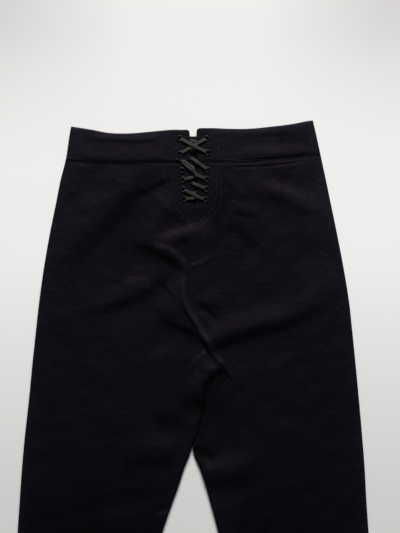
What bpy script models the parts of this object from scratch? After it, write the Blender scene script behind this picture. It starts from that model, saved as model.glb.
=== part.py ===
"""Sailor trousers of dark navy melton, laid flat with the back uppermost.

Sizes are in millimetres and are turned into metres where a mesh is made. "Across" runs to the
right from the middle of the back, "down" runs from the waist line to the hems, "up" is the height
above the surface that the trousers lie on. The origin is the middle of the whole, on that surface.
"""

import math
from collections import namedtuple

import bpy
import numpy as np

MM = 0.001
MERGE_WITHIN = 0.0001

# Walls and gaps
CLOTH = 1.5
BAND_CLOTH = 2.4
GUSSET_CLOTH = 1.2
SEAM_GAP = 0.3
LEG_GAP = 0.6

# Heights above the surface
SEAM_UP = 3.4
EDGE_UP = 6.6
BODY_UP = 6.5
PLACKET_UP = 7.45
LOWEST_BACK_UP = 3.6
LOWEST_INNER_UP = 1.85
BAND_STEP = 0.9
GUSSET_UP = 3.95
GUSSET_EDGE_UP = 5.6
HOLLOW_EASE = 1.2

# Rounding where the cloth turns down at the side seams and inseams
EDGE_ROUND = 3.6
EDGE_LIP = 0.4
EDGE_ANGLES = (0, 0, 45, 90)
EDGE_FLAT_SHARES = (0, 0.2, 0.5, 1)
WIDEST_ROUND = 1.8
EDGE_TRIES = 4

# Lengths down the garment
HEM_DOWN = 1090.0
KNEE_DOWN = 640.0
THIGH_DOWN = 430.0
CROTCH_DOWN = 371.7
WAIST_TOP_DOWN = -14.6
MIDDLE_DOWN = (HEM_DOWN + WAIST_TOP_DOWN) / 2
TURN_FROM_DOWN = 364.0
TURN_TO_DOWN = 386.0
SLIT_END_DOWN = 121.0
SLIT_MIDDLE = 1.0
LEVEL_ROWS_DOWN = 150.0

# The gusset behind the slit
GUSSET_TOP_DOWN = 10.5
GUSSET_TAPER_DOWN = 104.0
GUSSET_FOOT_DOWN = 134.0
GUSSET_HALF_WIDTH = 31.0
GUSSET_FOOT_HALF_WIDTH = 13.0
GUSSET_FLAT_SHARE = 0.82

# The fall, the flap at the front that such trousers open with
FALL_HALF_WIDTH = 128.0
FALL_FOOT_DOWN = 235.0
FALL_CUTTER_LENGTH = 300.0
FALL_CUTTER_HEIGHT = 20.0
FRONT_TOP_DOWN = 14.0
FRONT_DIP_HALF_WIDTH = 190.0
BAND_DEPTH = 50.0

# Rows and columns of the pieces; a body's rows are at the seat, crotch, thigh and shin
BACK_ROWS = (33, 8, 9, 7)
FRONT_ROWS = (8, 4, 7, 5)
BACK_COLUMNS = 15
FRONT_COLUMNS = 4
FRONT_BAND_COLUMNS = 10
BAND_ROWS = 4
FRONT_BAND_ROWS = 3
FALL_COLUMNS = 17
FALL_ROWS = 2
GUSSET_COLUMNS = 9
GUSSET_ROWS = 7

# Eyelets
EYELET_BORE = 2.7
EYELET_BARREL = 3.2
EYELET_RIM = 4.9
EYELET_RIM_HEIGHT = 0.8
EYELET_SOFT = 0.3
EYELET_SIDES = 12
HOLE_CUTTER_HEIGHT = 12.0

# The lace, a flat braid that is gathered where it passes through an eyelet
LACE_WIDTH = 4.8
LACE_THICK = 1.2
LACE_HOLE_WIDTH = 3.2
LACE_HOLE_THICK = 1.5
LACE_UNDER = 4.95
LACE_FLAT_SHARE = 0.36
LACE_STEPS = 2
STEEP_RUN = 0.35
FRAME_SMOOTHINGS = 2

# The lace where it turns into an eyelet, from the hole outwards: how far from the hole's middle,
# how far above or below the lace's usual height there, and how far it is gathered
LaceTurn = namedtuple("LaceTurn", "away lift held")
TURNS_OVER = (LaceTurn(0.9, -0.85, 1.0), LaceTurn(2.7, 0, 0))
TURNS_UNDER = (LaceTurn(0.7, 0.35, 1.0), LaceTurn(2.4, 0, 0.3))

SHARP_ANGLE = math.radians(50)

Side = namedtuple("Side", "down left right")
SIDE_SEAMS = [
    Side(-15, -189.6, 188.2),
    Side(3, -193.0, 192.4),
    Side(47, -199.8, 202.0),
    Side(79, -208.0, 208.9),
    Side(110, -214.1, 215.3),
    Side(162, -224.6, 226.0),
    Side(216, -234.0, 236.4),
    Side(268, -241.3, 244.9),
    Side(320, -247.1, 250.6),
    Side(373, -252.7, 255.9),
    Side(425, -257.7, 260.8),
    Side(477, -263.6, 265.4),
    Side(531, -268.5, 269.6),
    Side(583, -272.1, 272.4),
    Side(632, -275.4, 275.8),
    Side(715, -280.4, 281.0),
    Side(800, -285.6, 286.5),
    Side(900, -292.0, 293.0),
    Side(1000, -298.6, 299.2),
    Side(1090, -305.0, 305.0),
]
INSEAMS = [
    Side(371.7, 45.7, 45.7),
    Side(389, 30.0, 30.0),
    Side(402, 19.0, 19.0),
    Side(413, 15.9, 15.9),
    Side(449, 11.0, 11.0),
    Side(473, 6.3, 6.3),
    Side(501, -1.6, -0.5),
    Side(531, -13.4, 10.5),
    Side(556, -21.3, 18.8),
    Side(583, -31.0, 26.5),
    Side(632, -47.5, 39.5),
    Side(715, -61.0, 52.0),
    Side(800, -63.0, 58.0),
    Side(900, -58.0, 55.0),
    Side(1000, -49.0, 48.0),
    Side(1090, -40.0, 40.0),
]
SLIT = [
    Side(-5, -6.4, 5.0),
    Side(4, -5.4, 5.5),
    Side(20, -4.2, 6.2),
    Side(48, -4.0, 6.3),
    Side(79, -3.2, 6.1),
    Side(100, -2.2, 5.6),
    Side(112, -0.6, 4.9),
    Side(121, 3.2, 3.2),
]
Seam = namedtuple("Seam", "down across")
CENTRE_BACK_SEAM = [
    Seam(121, 3.2),
    Seam(151, 3.0),
    Seam(159, -12.0),
    Seam(168, -28.0),
    Seam(176, -35.4),
    Seam(190, -27.0),
    Seam(209, -15.5),
    Seam(241, -17.3),
    Seam(268, -14.5),
    Seam(295, -4.7),
    Seam(320, 11.0),
    Seam(346, 31.0),
    Seam(371.7, 45.7),
]
CENTRE_FRONT_SEAM = [
    Seam(-20, 0.0),
    Seam(120, 0.0),
    Seam(235, 1.0),
    Seam(310, 16.0),
    Seam(371.7, 45.7),
]
BandEdge = namedtuple("BandEdge", "across top seam")
BAND_EDGES = [
    BandEdge(-201, -6.0, 47.2),
    BandEdge(-192, -5.0, 47.8),
    BandEdge(-162, -1.3, 50.8),
    BandEdge(-131, 4.3, 51.7),
    BandEdge(-99, 4.9, 51.7),
    BandEdge(-68, 2.4, 50.2),
    BandEdge(-36, -0.5, 49.9),
    BandEdge(-5, -1.0, 49.6),
    BandEdge(6, -2.6, 48.9),
    BandEdge(27, -3.2, 48.8),
    BandEdge(58, -2.2, 49.3),
    BandEdge(90, -2.4, 47.3),
    BandEdge(121, -5.4, 44.6),
    BandEdge(153, -9.3, 41.8),
    BandEdge(184, -14.4, 38.6),
    BandEdge(202, -14.6, 38.2),
]
BAND_CORNER = 5.0

# Folds of the back, each a soft ridge (rise over 0) or trough (under 0) along a bent line that is
# listed from left to right or else downwards. "above" is its width on the waist's side, or on the
# right of a line that runs down, and "below" its width on the other side. "start" and "end" are the
# lengths over which it comes up and dies away.
Fold = namedtuple("Fold", "name line above below rise start end")
FOLDS = [
    Fold("seat hook", ((-58, 182), (-48, 178), (-34, 172), (-13, 164), (14, 154)), 15, 18, 2.1, 20, 44),
    Fold("hook bank", ((-136, 178), (-104, 173), (-74, 170), (-56, 172)), 56, 30, 2.0, 30, 12),
    Fold("hook lip", ((-98, 180), (-78, 182), (-52, 186), (-35, 193), (-24, 203), (-17, 213),
                      (-14, 234)),
         11, 22, 3.5, 90, 26),
    Fold("hook back", ((-22, 172), (0, 164), (24, 156), (36, 152)), 22, 40, 2.8, 16, 30),
    Fold("seam rib", ((-16, 220), (-17, 238), (-16.5, 256), (-11, 276), (-1, 292), (9, 308),
                      (17.5, 323), (27.5, 338.6), (35.5, 350), (45, 366)),
         8, 7, 1.9, 30, 14),
    Fold("seat hook trough", ((-118, 194), (-95, 204), (-68, 215), (-44, 222), (-14, 229)),
         34, 40, -4.6, 30, 12),
    Fold("left seat roll", ((-186, 281), (-162, 277), (-131, 269), (-99, 256), (-83, 246), (-67, 237),
                            (-52, 226), (-38, 214)),
         30, 22, 2.1, 50, 8),
    Fold("left seat hollow", ((-156, 292), (-131, 289), (-98, 282), (-76, 271), (-60, 259), (-44, 243)),
         20, 44, -1.9, 60, 8),
    Fold("left seat swell", ((-72, 276), (-44, 284), (-24, 300)), 24, 14, 0.5, 28, 20),
    Fold("centre seam trough", ((-64, 297), (-39, 316), (-24, 322), (-6, 329), (8, 341), (19, 352)),
         17, 50, -4.2, 40, 10),
    Fold("crotch lobe", ((-30, 345), (-12, 354), (6, 366), (24, 378)), 22, 26, 0.9, 24, 14),
    Fold("right seat roll", ((20, 344), (42, 329), (74, 313), (105, 304), (137, 297), (168, 284),
                             (205, 266), (236, 250)),
         32, 22, 3.9, 12, 110),
    Fold("right seat trough", ((20, 361), (42, 353), (74, 347), (105, 342), (137, 331), (176, 317)),
         30, 44, -3.6, 6, 120),
    Fold("crotch seam roll", ((4, 368), (26, 375), (46, 375), (58, 372)), 18, 10, 1.5, 14, 16),
    Fold("crotch hollow", ((50, 377), (36, 390), (25, 403), (21, 414), (17, 450), (10, 470)),
         32, 3, -3.2, 6, 40),
    Fold("left leg edge", ((38, 371), (22, 387), (11, 402), (7, 414), (3, 440)), 8, 22, 1.8, 14, 24),
    Fold("left hip roll", ((-204, 200), (-172, 168), (-133, 114), (-100, 82), (-84, 66)),
         50, 40, 3.2, 40, 40),
    Fold("left hip hollow", ((-200, 240), (-152, 204), (-118, 170), (-84, 130), (-62, 100)),
         44, 100, -3.4, 100, 20),
    Fold("left inner crease", ((-26, 444), (-5, 440), (14, 432)), 30, 24, -3.1, 16, 6),
    Fold("left inner hollow", ((-78, 470), (-38, 467), (-4, 465)), 34, 34, -2.4, 34, 16),
    Fold("left thigh roll", ((-128, 508), (-70, 506), (-26, 502)), 34, 24, 2.2, 56, 18),
    Fold("left thigh hollow", ((-130, 537), (-70, 535), (-24, 530)), 20, 34, -1.7, 56, 16),
    Fold("left knee hollow", ((-210, 600), (-110, 586), (-30, 570)), 30, 30, -1.5, 70, 44),
    Fold("right inner crease", ((-2, 501), (19, 511), (33, 523)), 15, 10, -3.4, 6, 12),
    Fold("right thigh roll", ((10, 540), (60, 533), (112, 514)), 30, 34, 3.6, 16, 54),
    Fold("right thigh hollow", ((14, 566), (60, 562), (116, 548)), 22, 40, -1.5, 24, 54),
    Fold("right hip roll", ((66, 90), (109, 96), (131, 100), (146, 106), (162, 114), (178, 120),
                            (204, 130)),
         24, 20, 2.3, 70, 40),
    Fold("right hip hollow", ((96, 122), (128, 134), (170, 154)), 16, 30, -0.8, 20, 36),
    Fold("left knee roll", ((-220, 690), (-170, 700), (-112, 716)), 34, 28, 2.0, 44, 44),
    Fold("right knee roll", ((96, 706), (150, 692), (214, 700)), 34, 28, 1.9, 44, 44),
    Fold("left shin roll", ((-240, 842), (-176, 858), (-110, 850)), 38, 32, 1.7, 54, 54),
    Fold("right shin roll", ((104, 856), (168, 872), (238, 858)), 38, 32, 1.7, 54, 54),
]
FOLD_STEP = 5.0
FOLD_SIDE_FADE = 26.0
FOLD_SEAM_FADE = 10.0
PLACKET_HALF_WIDTH = 29.0
PLACKET_FADE = 20.0
BAND_FADE = 60.0
STEEPEST_WALL = 1.5

# The eyelets' middles, across and down, from the waist to the foot of the slit
EYELETS = {
    "left": [
        (-20.8, 14.3),
        (-19.8, 38.3),
        (-17.2, 64.3),
        (-15.9, 79.2),
        (-15.1, 94.5),
        (-13.4, 109.6),
    ],
    "right": [
        (21.1, 14.5),
        (22.8, 36.5),
        (23.2, 63.5),
        (21.7, 78.0),
        (20.9, 93.7),
        (19.2, 109.9),
    ],
}
BAND_EYELETS = 2

# The lace's route from its free end to its tucked end, as runs from one eyelet to the next. Each
# names its eyelets by side and number, whether it leaves and arrives over or under the cloth, and
# the places that it passes on the way: across, down, up.
Run = namedtuple("Run", "start leaves via arrives end")
LACE_RUNS = [
    Run(
        None,
        None,
        [(-26.5, 46.6, 9.4), (-20, 48.8, 9.4), (-14, 51.8, 9.6), (-7, 57.6, 9.9), (0, 62.8, 10.1),
         (3.2, 68, 10), (7.6, 72.2, 9.8), (13.8, 75.2, 9.6)],
        "over",
        ("right", 4),
    ),
    Run(
        ("right", 4),
        "under",
        [(14.4, 88.6, 4.95), (8.2, 96.6, 4.95), (1.2, 100.2, 4.95), (-6.4, 98.2, 4.95)],
        "under",
        ("left", 5),
    ),
    Run(
        ("left", 5),
        "over",
        [(-6, 98.8, 9.55), (2, 102.6, 9.6), (10, 107, 9.55)],
        "over",
        ("right", 6),
    ),
    Run(
        ("right", 6),
        "under",
        [(15.4, 117.4, 4.95), (8.6, 123, 4.95), (0, 124.2, 4.95), (-8, 119.4, 4.95)],
        "under",
        ("left", 6),
    ),
    Run(
        ("left", 6),
        "over",
        [(-5.4, 108.7, 9.5), (-1.4, 108.2, 9.2), (1.6, 107.5, 7.4), (3.6, 106.6, 5.2), (6.2, 105.2, 4.9),
         (12, 101, 4.95)],
        "under",
        ("right", 5),
    ),
    Run(
        ("right", 5),
        "over",
        [(11, 89.3, 9.55), (7, 87.6, 9.4), (3.4, 85.9, 7.6), (0.8, 84.8, 5.5), (-2.4, 83.6, 4.9),
         (-8.4, 81.6, 4.95)],
        "under",
        ("left", 4),
    ),
    Run(
        ("left", 4),
        "over",
        [(-7.6, 76.9, 9.55), (-4.4, 76, 9.45), (-1, 75, 7.8), (1.6, 74.2, 5.6), (5.2, 72.9, 4.9),
         (9, 71, 4.95), (14.6, 68, 4.95)],
        "under",
        ("right", 3),
    ),
    Run(
        ("right", 3),
        "over",
        [(14.6, 57.4, 9.7), (9.8, 53.8, 10.3), (6.8, 51.5, 10.4), (3.8, 49.2, 9), (1, 47, 6.6),
         (-1.6, 45.3, 5.2), (-4.4, 43.9, 4.9), (-11.6, 40.9, 4.95)],
        "under",
        ("left", 2),
    ),
    Run(
        ("left", 2),
        "over",
        [(-8.4, 31.6, 10.45), (0.6, 26.4, 10.45), (9.6, 21.2, 10.45)],
        "over",
        ("right", 1),
    ),
    Run(
        ("right", 1),
        "under",
        [(10.4, 17.2, 4.95), (5.4, 18, 4.95), (1, 18.3, 5.6), (-3.4, 17.9, 4.95), (-10, 16.6, 4.95)],
        "under",
        ("left", 1),
    ),
    Run(
        ("left", 1),
        "over",
        [(-11, 19.6, 10.9), (-4.6, 23, 11.8), (1, 26, 12.2), (6.6, 29, 11.8), (13, 32, 10.9)],
        "over",
        ("right", 2),
    ),
    Run(("right", 2), "under", [(19.5, 42.4, 4.95), (15.5, 48, 4.95), (11.5, 53.5, 4.95)], None, None),
]

Finish = namedtuple("Finish", "colour roughness metallic")
FINISHES = {
    "melton": Finish((0.0091, 0.0070, 0.0112), 0.92, 0.0),
    "gusset_cloth": Finish((0.0070, 0.0060, 0.0085), 0.9, 0.0),
    "lace_braid": Finish((0.062, 0.058, 0.044), 0.85, 0.0),
    "eyelet_enamel": Finish((0.020, 0.018, 0.024), 0.45, 0.4),
}


def soft_step(share):
    """0 to 1 with soft ends, for shares from 0 to 1."""
    share = np.clip(share, 0, 1)
    return share * share * (3 - 2 * share)


def curve_through(places, values, at):
    """Values at some places on a smooth curve through known ones."""
    places = np.asarray(places, float)
    values = np.asarray(values, float)
    slopes = np.gradient(values, places)
    at = np.clip(at, places[0], places[-1])
    i = np.clip(np.searchsorted(places, at, side="right") - 1, 0, len(places) - 2)
    step = places[i + 1] - places[i]
    t = (at - places[i]) / step
    start = values[i] * (1 + 2 * t) * (1 - t) ** 2
    end = values[i + 1] * t * t * (3 - 2 * t)
    leaving = slopes[i] * step * t * (1 - t) ** 2
    arriving = slopes[i + 1] * step * t * t * (t - 1)
    return start + end + leaving + arriving


def column(table, name):
    return [getattr(row, name) for row in table]


def read(table, name, at):
    """A named column of a table whose first column is the place."""
    return curve_through(column(table, table[0]._fields[0]), column(table, name), at)


def seam_across(table, side, down):
    """A centre seam's edge on one side, with a gap that stays as wide where the seam is aslant."""
    sign = -1 if side == "left" else 1
    slope = (read(table, "across", down + 1) - read(table, "across", down - 1)) / 2
    return read(table, "across", down) + sign * SEAM_GAP / 2 * np.hypot(1, slope)


def inseam_across(side, down):
    """A leg's inner edge; the right leg never runs into the left one."""
    left = read(INSEAMS, "left", down)
    if side == "left":
        return left - LEG_GAP / 2
    return np.maximum(read(INSEAMS, "right", down), left) + LEG_GAP / 2


def back_middle(side, down):
    """Where a back piece ends towards the middle: slit, centre seam, then inseam."""
    if down < SLIT_END_DOWN:
        sign = -1 if side == "left" else 1
        return read(SLIT, side, down) + sign * SEAM_GAP / 2
    if down < CROTCH_DOWN:
        return seam_across(CENTRE_BACK_SEAM, side, down)
    return inseam_across(side, down)


def front_middle(side, down):
    if down < CROTCH_DOWN:
        return seam_across(CENTRE_FRONT_SEAM, side, down)
    return inseam_across(side, down)


def outer_edge(side, down):
    return read(SIDE_SEAMS, side, down)


def nearest_on_line(points, line):
    """For points in plan: their distance from a bent line, over 0 on the side of the hem for a line
    that runs to the right, and how far along it they are, as a share."""
    best = np.full(len(points), np.inf)
    signed = np.zeros(len(points))
    along = np.zeros(len(points))
    pieces = len(line) - 1
    for number in range(pieces):
        start = line[number]
        run = line[number + 1] - start
        share = np.clip((points - start) @ run / (run @ run), 0, 1)
        away = points - start - share[:, None] * run
        far = np.hypot(away[:, 0], away[:, 1])
        side = np.sign(away @ np.array([-run[1], run[0]]) + 1e-9)
        nearer = far < best
        best = np.where(nearer, far, best)
        signed = np.where(nearer, far * side, signed)
        along = np.where(nearer, (number + share) / pieces, along)
    return signed, along


def smooth_line(spots, step):
    """Evenly spaced points, about a step apart, along a smooth line through some spots."""
    spots = np.array(spots, float)
    places = np.concatenate([[0], np.cumsum(np.hypot(*np.diff(spots, axis=0).T))])
    at = np.linspace(0, places[-1], max(int(places[-1] / step), 2) + 1)
    return np.stack([curve_through(places, spots[:, 0], at), curve_through(places, spots[:, 1], at)], 1)


def fold_rise(across, down):
    """The height that all folds add at places on the back."""
    points = np.stack(np.broadcast_arrays(across, down), axis=-1).reshape(-1, 2).astype(float)
    total = np.zeros(len(points))
    for fold in FOLDS:
        line = smooth_line(fold.line, FOLD_STEP)
        length = np.hypot(*np.diff(line, axis=0).T).sum()
        reach = max(fold.above, fold.below)
        low, high = line.min(axis=0) - reach, line.max(axis=0) + reach
        near = np.flatnonzero(((points > low) & (points < high)).all(axis=1))
        if not len(near):
            continue
        offset, along = nearest_on_line(points[near], line)
        width = np.where(offset < 0, fold.above, fold.below)
        shape = 0.5 + 0.5 * np.cos(np.pi * np.clip(np.abs(offset) / width, 0, 1))
        ends = soft_step(along * length / fold.start) * soft_step((1 - along) * length / fold.end)
        total[near] += fold.rise * shape * ends
    return total.reshape(np.broadcast(across, down).shape)


def back_up(across, down, from_side, below_seam):
    """The height of the back's upper face. from_side is the distance from the side seam,
    below_seam that from the waistband."""
    from_slit = np.abs(across - SLIT_MIDDLE)
    near_slit = 1 - soft_step((from_slit - PLACKET_HALF_WIDTH) / PLACKET_FADE)
    near_slit = near_slit * (1 - soft_step((down - SLIT_END_DOWN) / PLACKET_FADE))
    near_band = 1 - soft_step(below_seam / BAND_FADE)
    level = BODY_UP + (PLACKET_UP - BODY_UP) * np.maximum(near_slit, near_band)
    inward = soft_step(from_side / FOLD_SIDE_FADE)
    level = EDGE_UP + (level - EDGE_UP) * inward
    free = inward * (1 - near_slit) * soft_step(below_seam / FOLD_SEAM_FADE)
    up = level + free * fold_rise(across, down)
    under = np.minimum(up - LOWEST_BACK_UP - HOLLOW_EASE, 0)
    return np.where(under < 0, LOWEST_BACK_UP + HOLLOW_EASE * np.exp(under / HOLLOW_EASE), up)


def body_rows(seat, turn, thigh, shin):
    """A panel's rows, as how far down they lie once clear of the waistband: more rows at the folds."""
    parts = (
        np.linspace(0, CROTCH_DOWN, seat),
        np.linspace(CROTCH_DOWN, THIGH_DOWN, turn)[1:],
        np.linspace(THIGH_DOWN, KNEE_DOWN, thigh)[1:],
        np.linspace(KNEE_DOWN, HEM_DOWN, shin)[1:],
    )
    return np.concatenate(parts)


def edge_place(edge, side, row, down_at):
    """Where a row meets an edge: the row's depth depends on how far across it is."""
    across = 0.0
    for _ in range(EDGE_TRIES):
        down = float(down_at(across, row))
        across = float(edge(side, down))
    return across, float(down_at(across, row))


def panel(side, rows, columns, down_at, inner_at, seat, thick):
    """The outer and inner points of a piece on one side, from its middle edge to the side seam.

    down_at gives a row's depth at a place across, inner_at the piece's middle edge, and seat the
    height of a back piece's upper face, or None for a front piece, which lies on the surface.
    """
    sign = -1 if side == "left" else 1
    angles = np.radians(EDGE_ANGLES)
    shares = np.linspace(0, 1, columns + 2)[1:-1]
    count = len(angles)
    lip = (np.arange(count) == 0) * 1.0
    outer = []
    inner = []
    for row in rows:
        near, near_down = edge_place(inner_at, side, row, down_at)
        far, _ = edge_place(outer_edge, side, row, down_at)
        width = abs(far - near)
        turn = float(soft_step((near_down - TURN_FROM_DOWN) / (TURN_TO_DOWN - TURN_FROM_DOWN)))
        slope = float(inner_at(side, near_down + 1) - inner_at(side, near_down - 1)) / 2
        reach = EDGE_ROUND * min(math.hypot(1, slope), WIDEST_ROUND)
        near_inset = reach * (turn * (1 - np.cos(angles)) + (1 - turn) * np.array(EDGE_FLAT_SHARES))
        far_inset = EDGE_ROUND * (1 - np.cos(angles))
        inset = np.concatenate(
            [near_inset, reach + (width - reach - EDGE_ROUND) * shares, width - far_inset[::-1]]
        )
        # The way that each column faces: straight up in the flat, outwards at a turned edge
        facing = np.full(len(inset), math.pi / 2)
        facing[:count] += turn * (angles - math.pi / 2)
        facing[-count:] = angles[::-1]
        outwards = np.zeros(len(inset))
        outwards[:count] = -sign
        outwards[-count:] = sign
        lips = np.zeros(len(inset))
        lips[:count] = lip * turn
        lips[-count:] = lip[::-1]
        share_up = np.ones(len(inset))
        share_up[:count] = turn * np.sin(angles) + 1 - turn
        share_up[-count:] = np.sin(angles[::-1])
        across = near + sign * inset
        down = down_at(across, row)
        if seat is None:
            up = (SEAM_UP - SEAM_GAP - EDGE_LIP) * (1 - share_up) + EDGE_LIP * lips
            inner_up = up + thick * np.sin(facing)
        else:
            from_side = np.maximum(width - inset, 0)
            base = SEAM_UP + EDGE_LIP
            up = base + (seat(across, down, from_side) - base) * share_up - EDGE_LIP * lips
            drop = thick * steepness(seat, across, down, from_side)
            inner_up = np.maximum(up - drop * np.sin(facing), LOWEST_INNER_UP)
        inner_across = across - outwards * thick * np.cos(facing)
        outer.append(np.stack([across, down, up], axis=1))
        inner.append(np.stack([inner_across, down, inner_up], axis=1))
    return np.array(outer), np.array(inner)


def steepness(seat, across, down, from_side):
    """How much deeper a wall is where it runs aslant, so that it stays as thick."""
    rise_across = (seat(across + 1, down, from_side) - seat(across - 1, down, from_side)) / 2
    rise_down = (seat(across, down + 1, from_side) - seat(across, down - 1, from_side)) / 2
    return np.minimum(np.sqrt(1 + rise_across**2 + rise_down**2), STEEPEST_WALL)


def to_scene(points):
    """Across, down and up in millimetres as X, Y and Z in metres."""
    points = np.asarray(points, float)
    return np.stack(
        [points[..., 0] * MM, (MIDDLE_DOWN - points[..., 1]) * MM, points[..., 2] * MM], axis=-1
    )


def material(slot):
    """The finish of a slot, as a plain Principled BSDF."""
    made = bpy.data.materials.get(slot)
    if made is None:
        finish = FINISHES[slot]
        made = bpy.data.materials.new(slot)
        made.use_nodes = True
        made.diffuse_color = (*finish.colour, 1)
        shader = made.node_tree.nodes["Principled BSDF"]
        shader.inputs["Base Color"].default_value = (*finish.colour, 1)
        shader.inputs["Roughness"].default_value = finish.roughness
        shader.inputs["Metallic"].default_value = finish.metallic
    return made


def add_object(name, mesh, slot, group):
    mesh.materials.append(material(slot))
    made = bpy.data.objects.new(name, mesh)
    group.objects.link(made)
    return made


def wall(name, outer, inner, slot, group):
    """A closed cloth wall lofted between its outer and inner sections."""
    rows, columns = outer.shape[:2]
    back = rows * columns
    number = np.arange(back).reshape(rows, columns)
    faces = []
    for r in range(rows - 1):
        for c in range(columns - 1):
            quad = [(r, c), (r, c + 1), (r + 1, c + 1), (r + 1, c)]
            # Both sides of the wall split a quad along the same diagonal, its shorter one
            first, second, third, fourth = (outer[place] for place in quad)
            if np.linalg.norm(first - third) > np.linalg.norm(second - fourth):
                quad = quad[1:] + quad[:1]
            corners = [number[place] for place in quad]
            for triangle in (corners[:3], [corners[0], corners[2], corners[3]]):
                faces.append(triangle)
                faces.append([corner + back for corner in reversed(triangle)])
    border = [
        *number[0],
        *number[1:, -1],
        *number[-1, -2::-1],
        *number[-2:0:-1, 0],
    ]
    for here, there in zip(border, border[1:] + border[:1]):
        faces.append([there, here, here + back, there + back])
    points = to_scene(np.concatenate([outer.reshape(-1, 3), inner.reshape(-1, 3)]))
    mesh = bpy.data.meshes.new(name)
    mesh.from_pydata(points.tolist(), [], [[int(i) for i in face] for face in faces])
    made = add_object(name, mesh, slot, group)
    face_outwards(mesh)
    mesh.shade_smooth()
    mesh.set_sharp_from_angle(angle=SHARP_ANGLE)
    return made


def face_outwards(mesh):
    """Turns a closed mesh whose volume reads negative."""
    mesh.calc_loop_triangles()
    points = np.array([v.co for v in mesh.vertices])
    corners = points[np.array([t.vertices for t in mesh.loop_triangles])]
    if np.linalg.det(corners).sum() < 0:
        mesh.flip_normals()


def cut(target, cutters):
    """Cuts every object of a collection out of a piece."""
    modifier = target.modifiers.new("Cut", "BOOLEAN")
    modifier.operation = "DIFFERENCE"
    modifier.operand_type = "COLLECTION"
    modifier.collection = cutters
    modifier.solver = "EXACT"


def new_group(name, parent):
    group = bpy.data.collections.new(name)
    parent.children.link(group)
    return group


def as_cutter(made, group):
    """Moves the newest object to a group of cutters and hides it."""
    for owner in list(made.users_collection):
        owner.objects.unlink(made)
    group.objects.link(made)
    made.hide_render = True
    made.display_type = "WIRE"


def back_seam(across):
    """How far down the waistband's lower edge is on the back."""
    return read(BAND_EDGES, "seam", across)


def towards_side(across):
    return soft_step(np.abs(across) / FRONT_DIP_HALF_WIDTH)


def front_top(across):
    """The front waist dips below the back one and meets it at the side seams."""
    level = read(BAND_EDGES, "top", across)
    return level + (FRONT_TOP_DOWN - level) * (1 - towards_side(across))


def front_seam(across):
    level = back_seam(across)
    return level + (FRONT_TOP_DOWN + BAND_DEPTH - level) * (1 - towards_side(across))


def below_seam(seam):
    """The rows of a panel, which follow the seam at the top and run level further down."""

    def down_at(across, row):
        shift = seam(across) + SEAM_GAP / 2
        return row + shift * (1 - soft_step(row / LEVEL_ROWS_DOWN))

    return down_at


def within_band(top, seam):
    """The rows of a waistband, as shares of the way from its top edge to its seam."""

    def down_at(across, row):
        upper = top(across)
        lower = seam(across) - SEAM_GAP / 2
        return upper + (lower - upper) * row

    return down_at


def back_band_top(across):
    """The back waistband's top edge, with a rounded corner at each side of the slit."""
    ends = np.where(np.asarray(across) < SLIT_MIDDLE, SLIT[1].left, SLIT[1].right)
    from_end = np.clip(np.abs(across - ends) / BAND_CORNER, 0, 1)
    corner = BAND_CORNER * (1 - np.sqrt(1 - (1 - from_end) ** 2))
    return read(BAND_EDGES, "top", across) + corner


def body_seat(across, down, from_side):
    return back_up(across, down, from_side, np.maximum(down - back_seam(across), 0))


def band_seat(across, down, from_side):
    inward = soft_step(from_side / FOLD_SIDE_FADE)
    return EDGE_UP + (PLACKET_UP - EDGE_UP) * inward + BAND_STEP + 0 * down


def make_backs(side, group, holes):
    """A back panel and its waistband, with holes for the eyelets."""
    outer, inner = panel(
        side, body_rows(*BACK_ROWS), BACK_COLUMNS, below_seam(back_seam), back_middle, body_seat, CLOTH
    )
    cut(wall(f"back_{side}", outer, inner, "melton", group), holes)
    outer, inner = panel(
        side,
        np.linspace(0, 1, BAND_ROWS),
        BACK_COLUMNS,
        within_band(back_band_top, back_seam),
        back_middle,
        band_seat,
        BAND_CLOTH,
    )
    cut(wall(f"waistband_back_{side}", outer, inner, "melton", group), holes)


def make_fronts(side, group, fall_room):
    """A front panel, cut away where the fall lies, and its waistband."""
    outer, inner = panel(
        side, body_rows(*FRONT_ROWS), FRONT_COLUMNS, below_seam(front_seam), front_middle, None, CLOTH
    )
    cut(wall(f"front_{side}", outer, inner, "melton", group), fall_room)
    outer, inner = panel(
        side,
        np.linspace(0, 1, FRONT_BAND_ROWS),
        FRONT_BAND_COLUMNS,
        within_band(front_top, front_seam),
        front_middle,
        None,
        BAND_CLOTH,
    )
    wall(f"waistband_front_{side}", outer, inner, "melton", group)


def make_fall(group):
    """The fall: a flat flap under the front waistband, between the front panels."""
    across = np.linspace(-FALL_HALF_WIDTH, FALL_HALF_WIDTH, FALL_COLUMNS)
    top = front_seam(across) + SEAM_GAP / 2
    rows = [top + (FALL_FOOT_DOWN - top) * share for share in np.linspace(0, 1, FALL_ROWS)]
    outer = np.array([np.stack([across, row, 0 * across], axis=1) for row in rows])
    inner = outer + np.array([0, 0, CLOTH])
    wall("front_fall", outer, inner, "melton", group)


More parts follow.
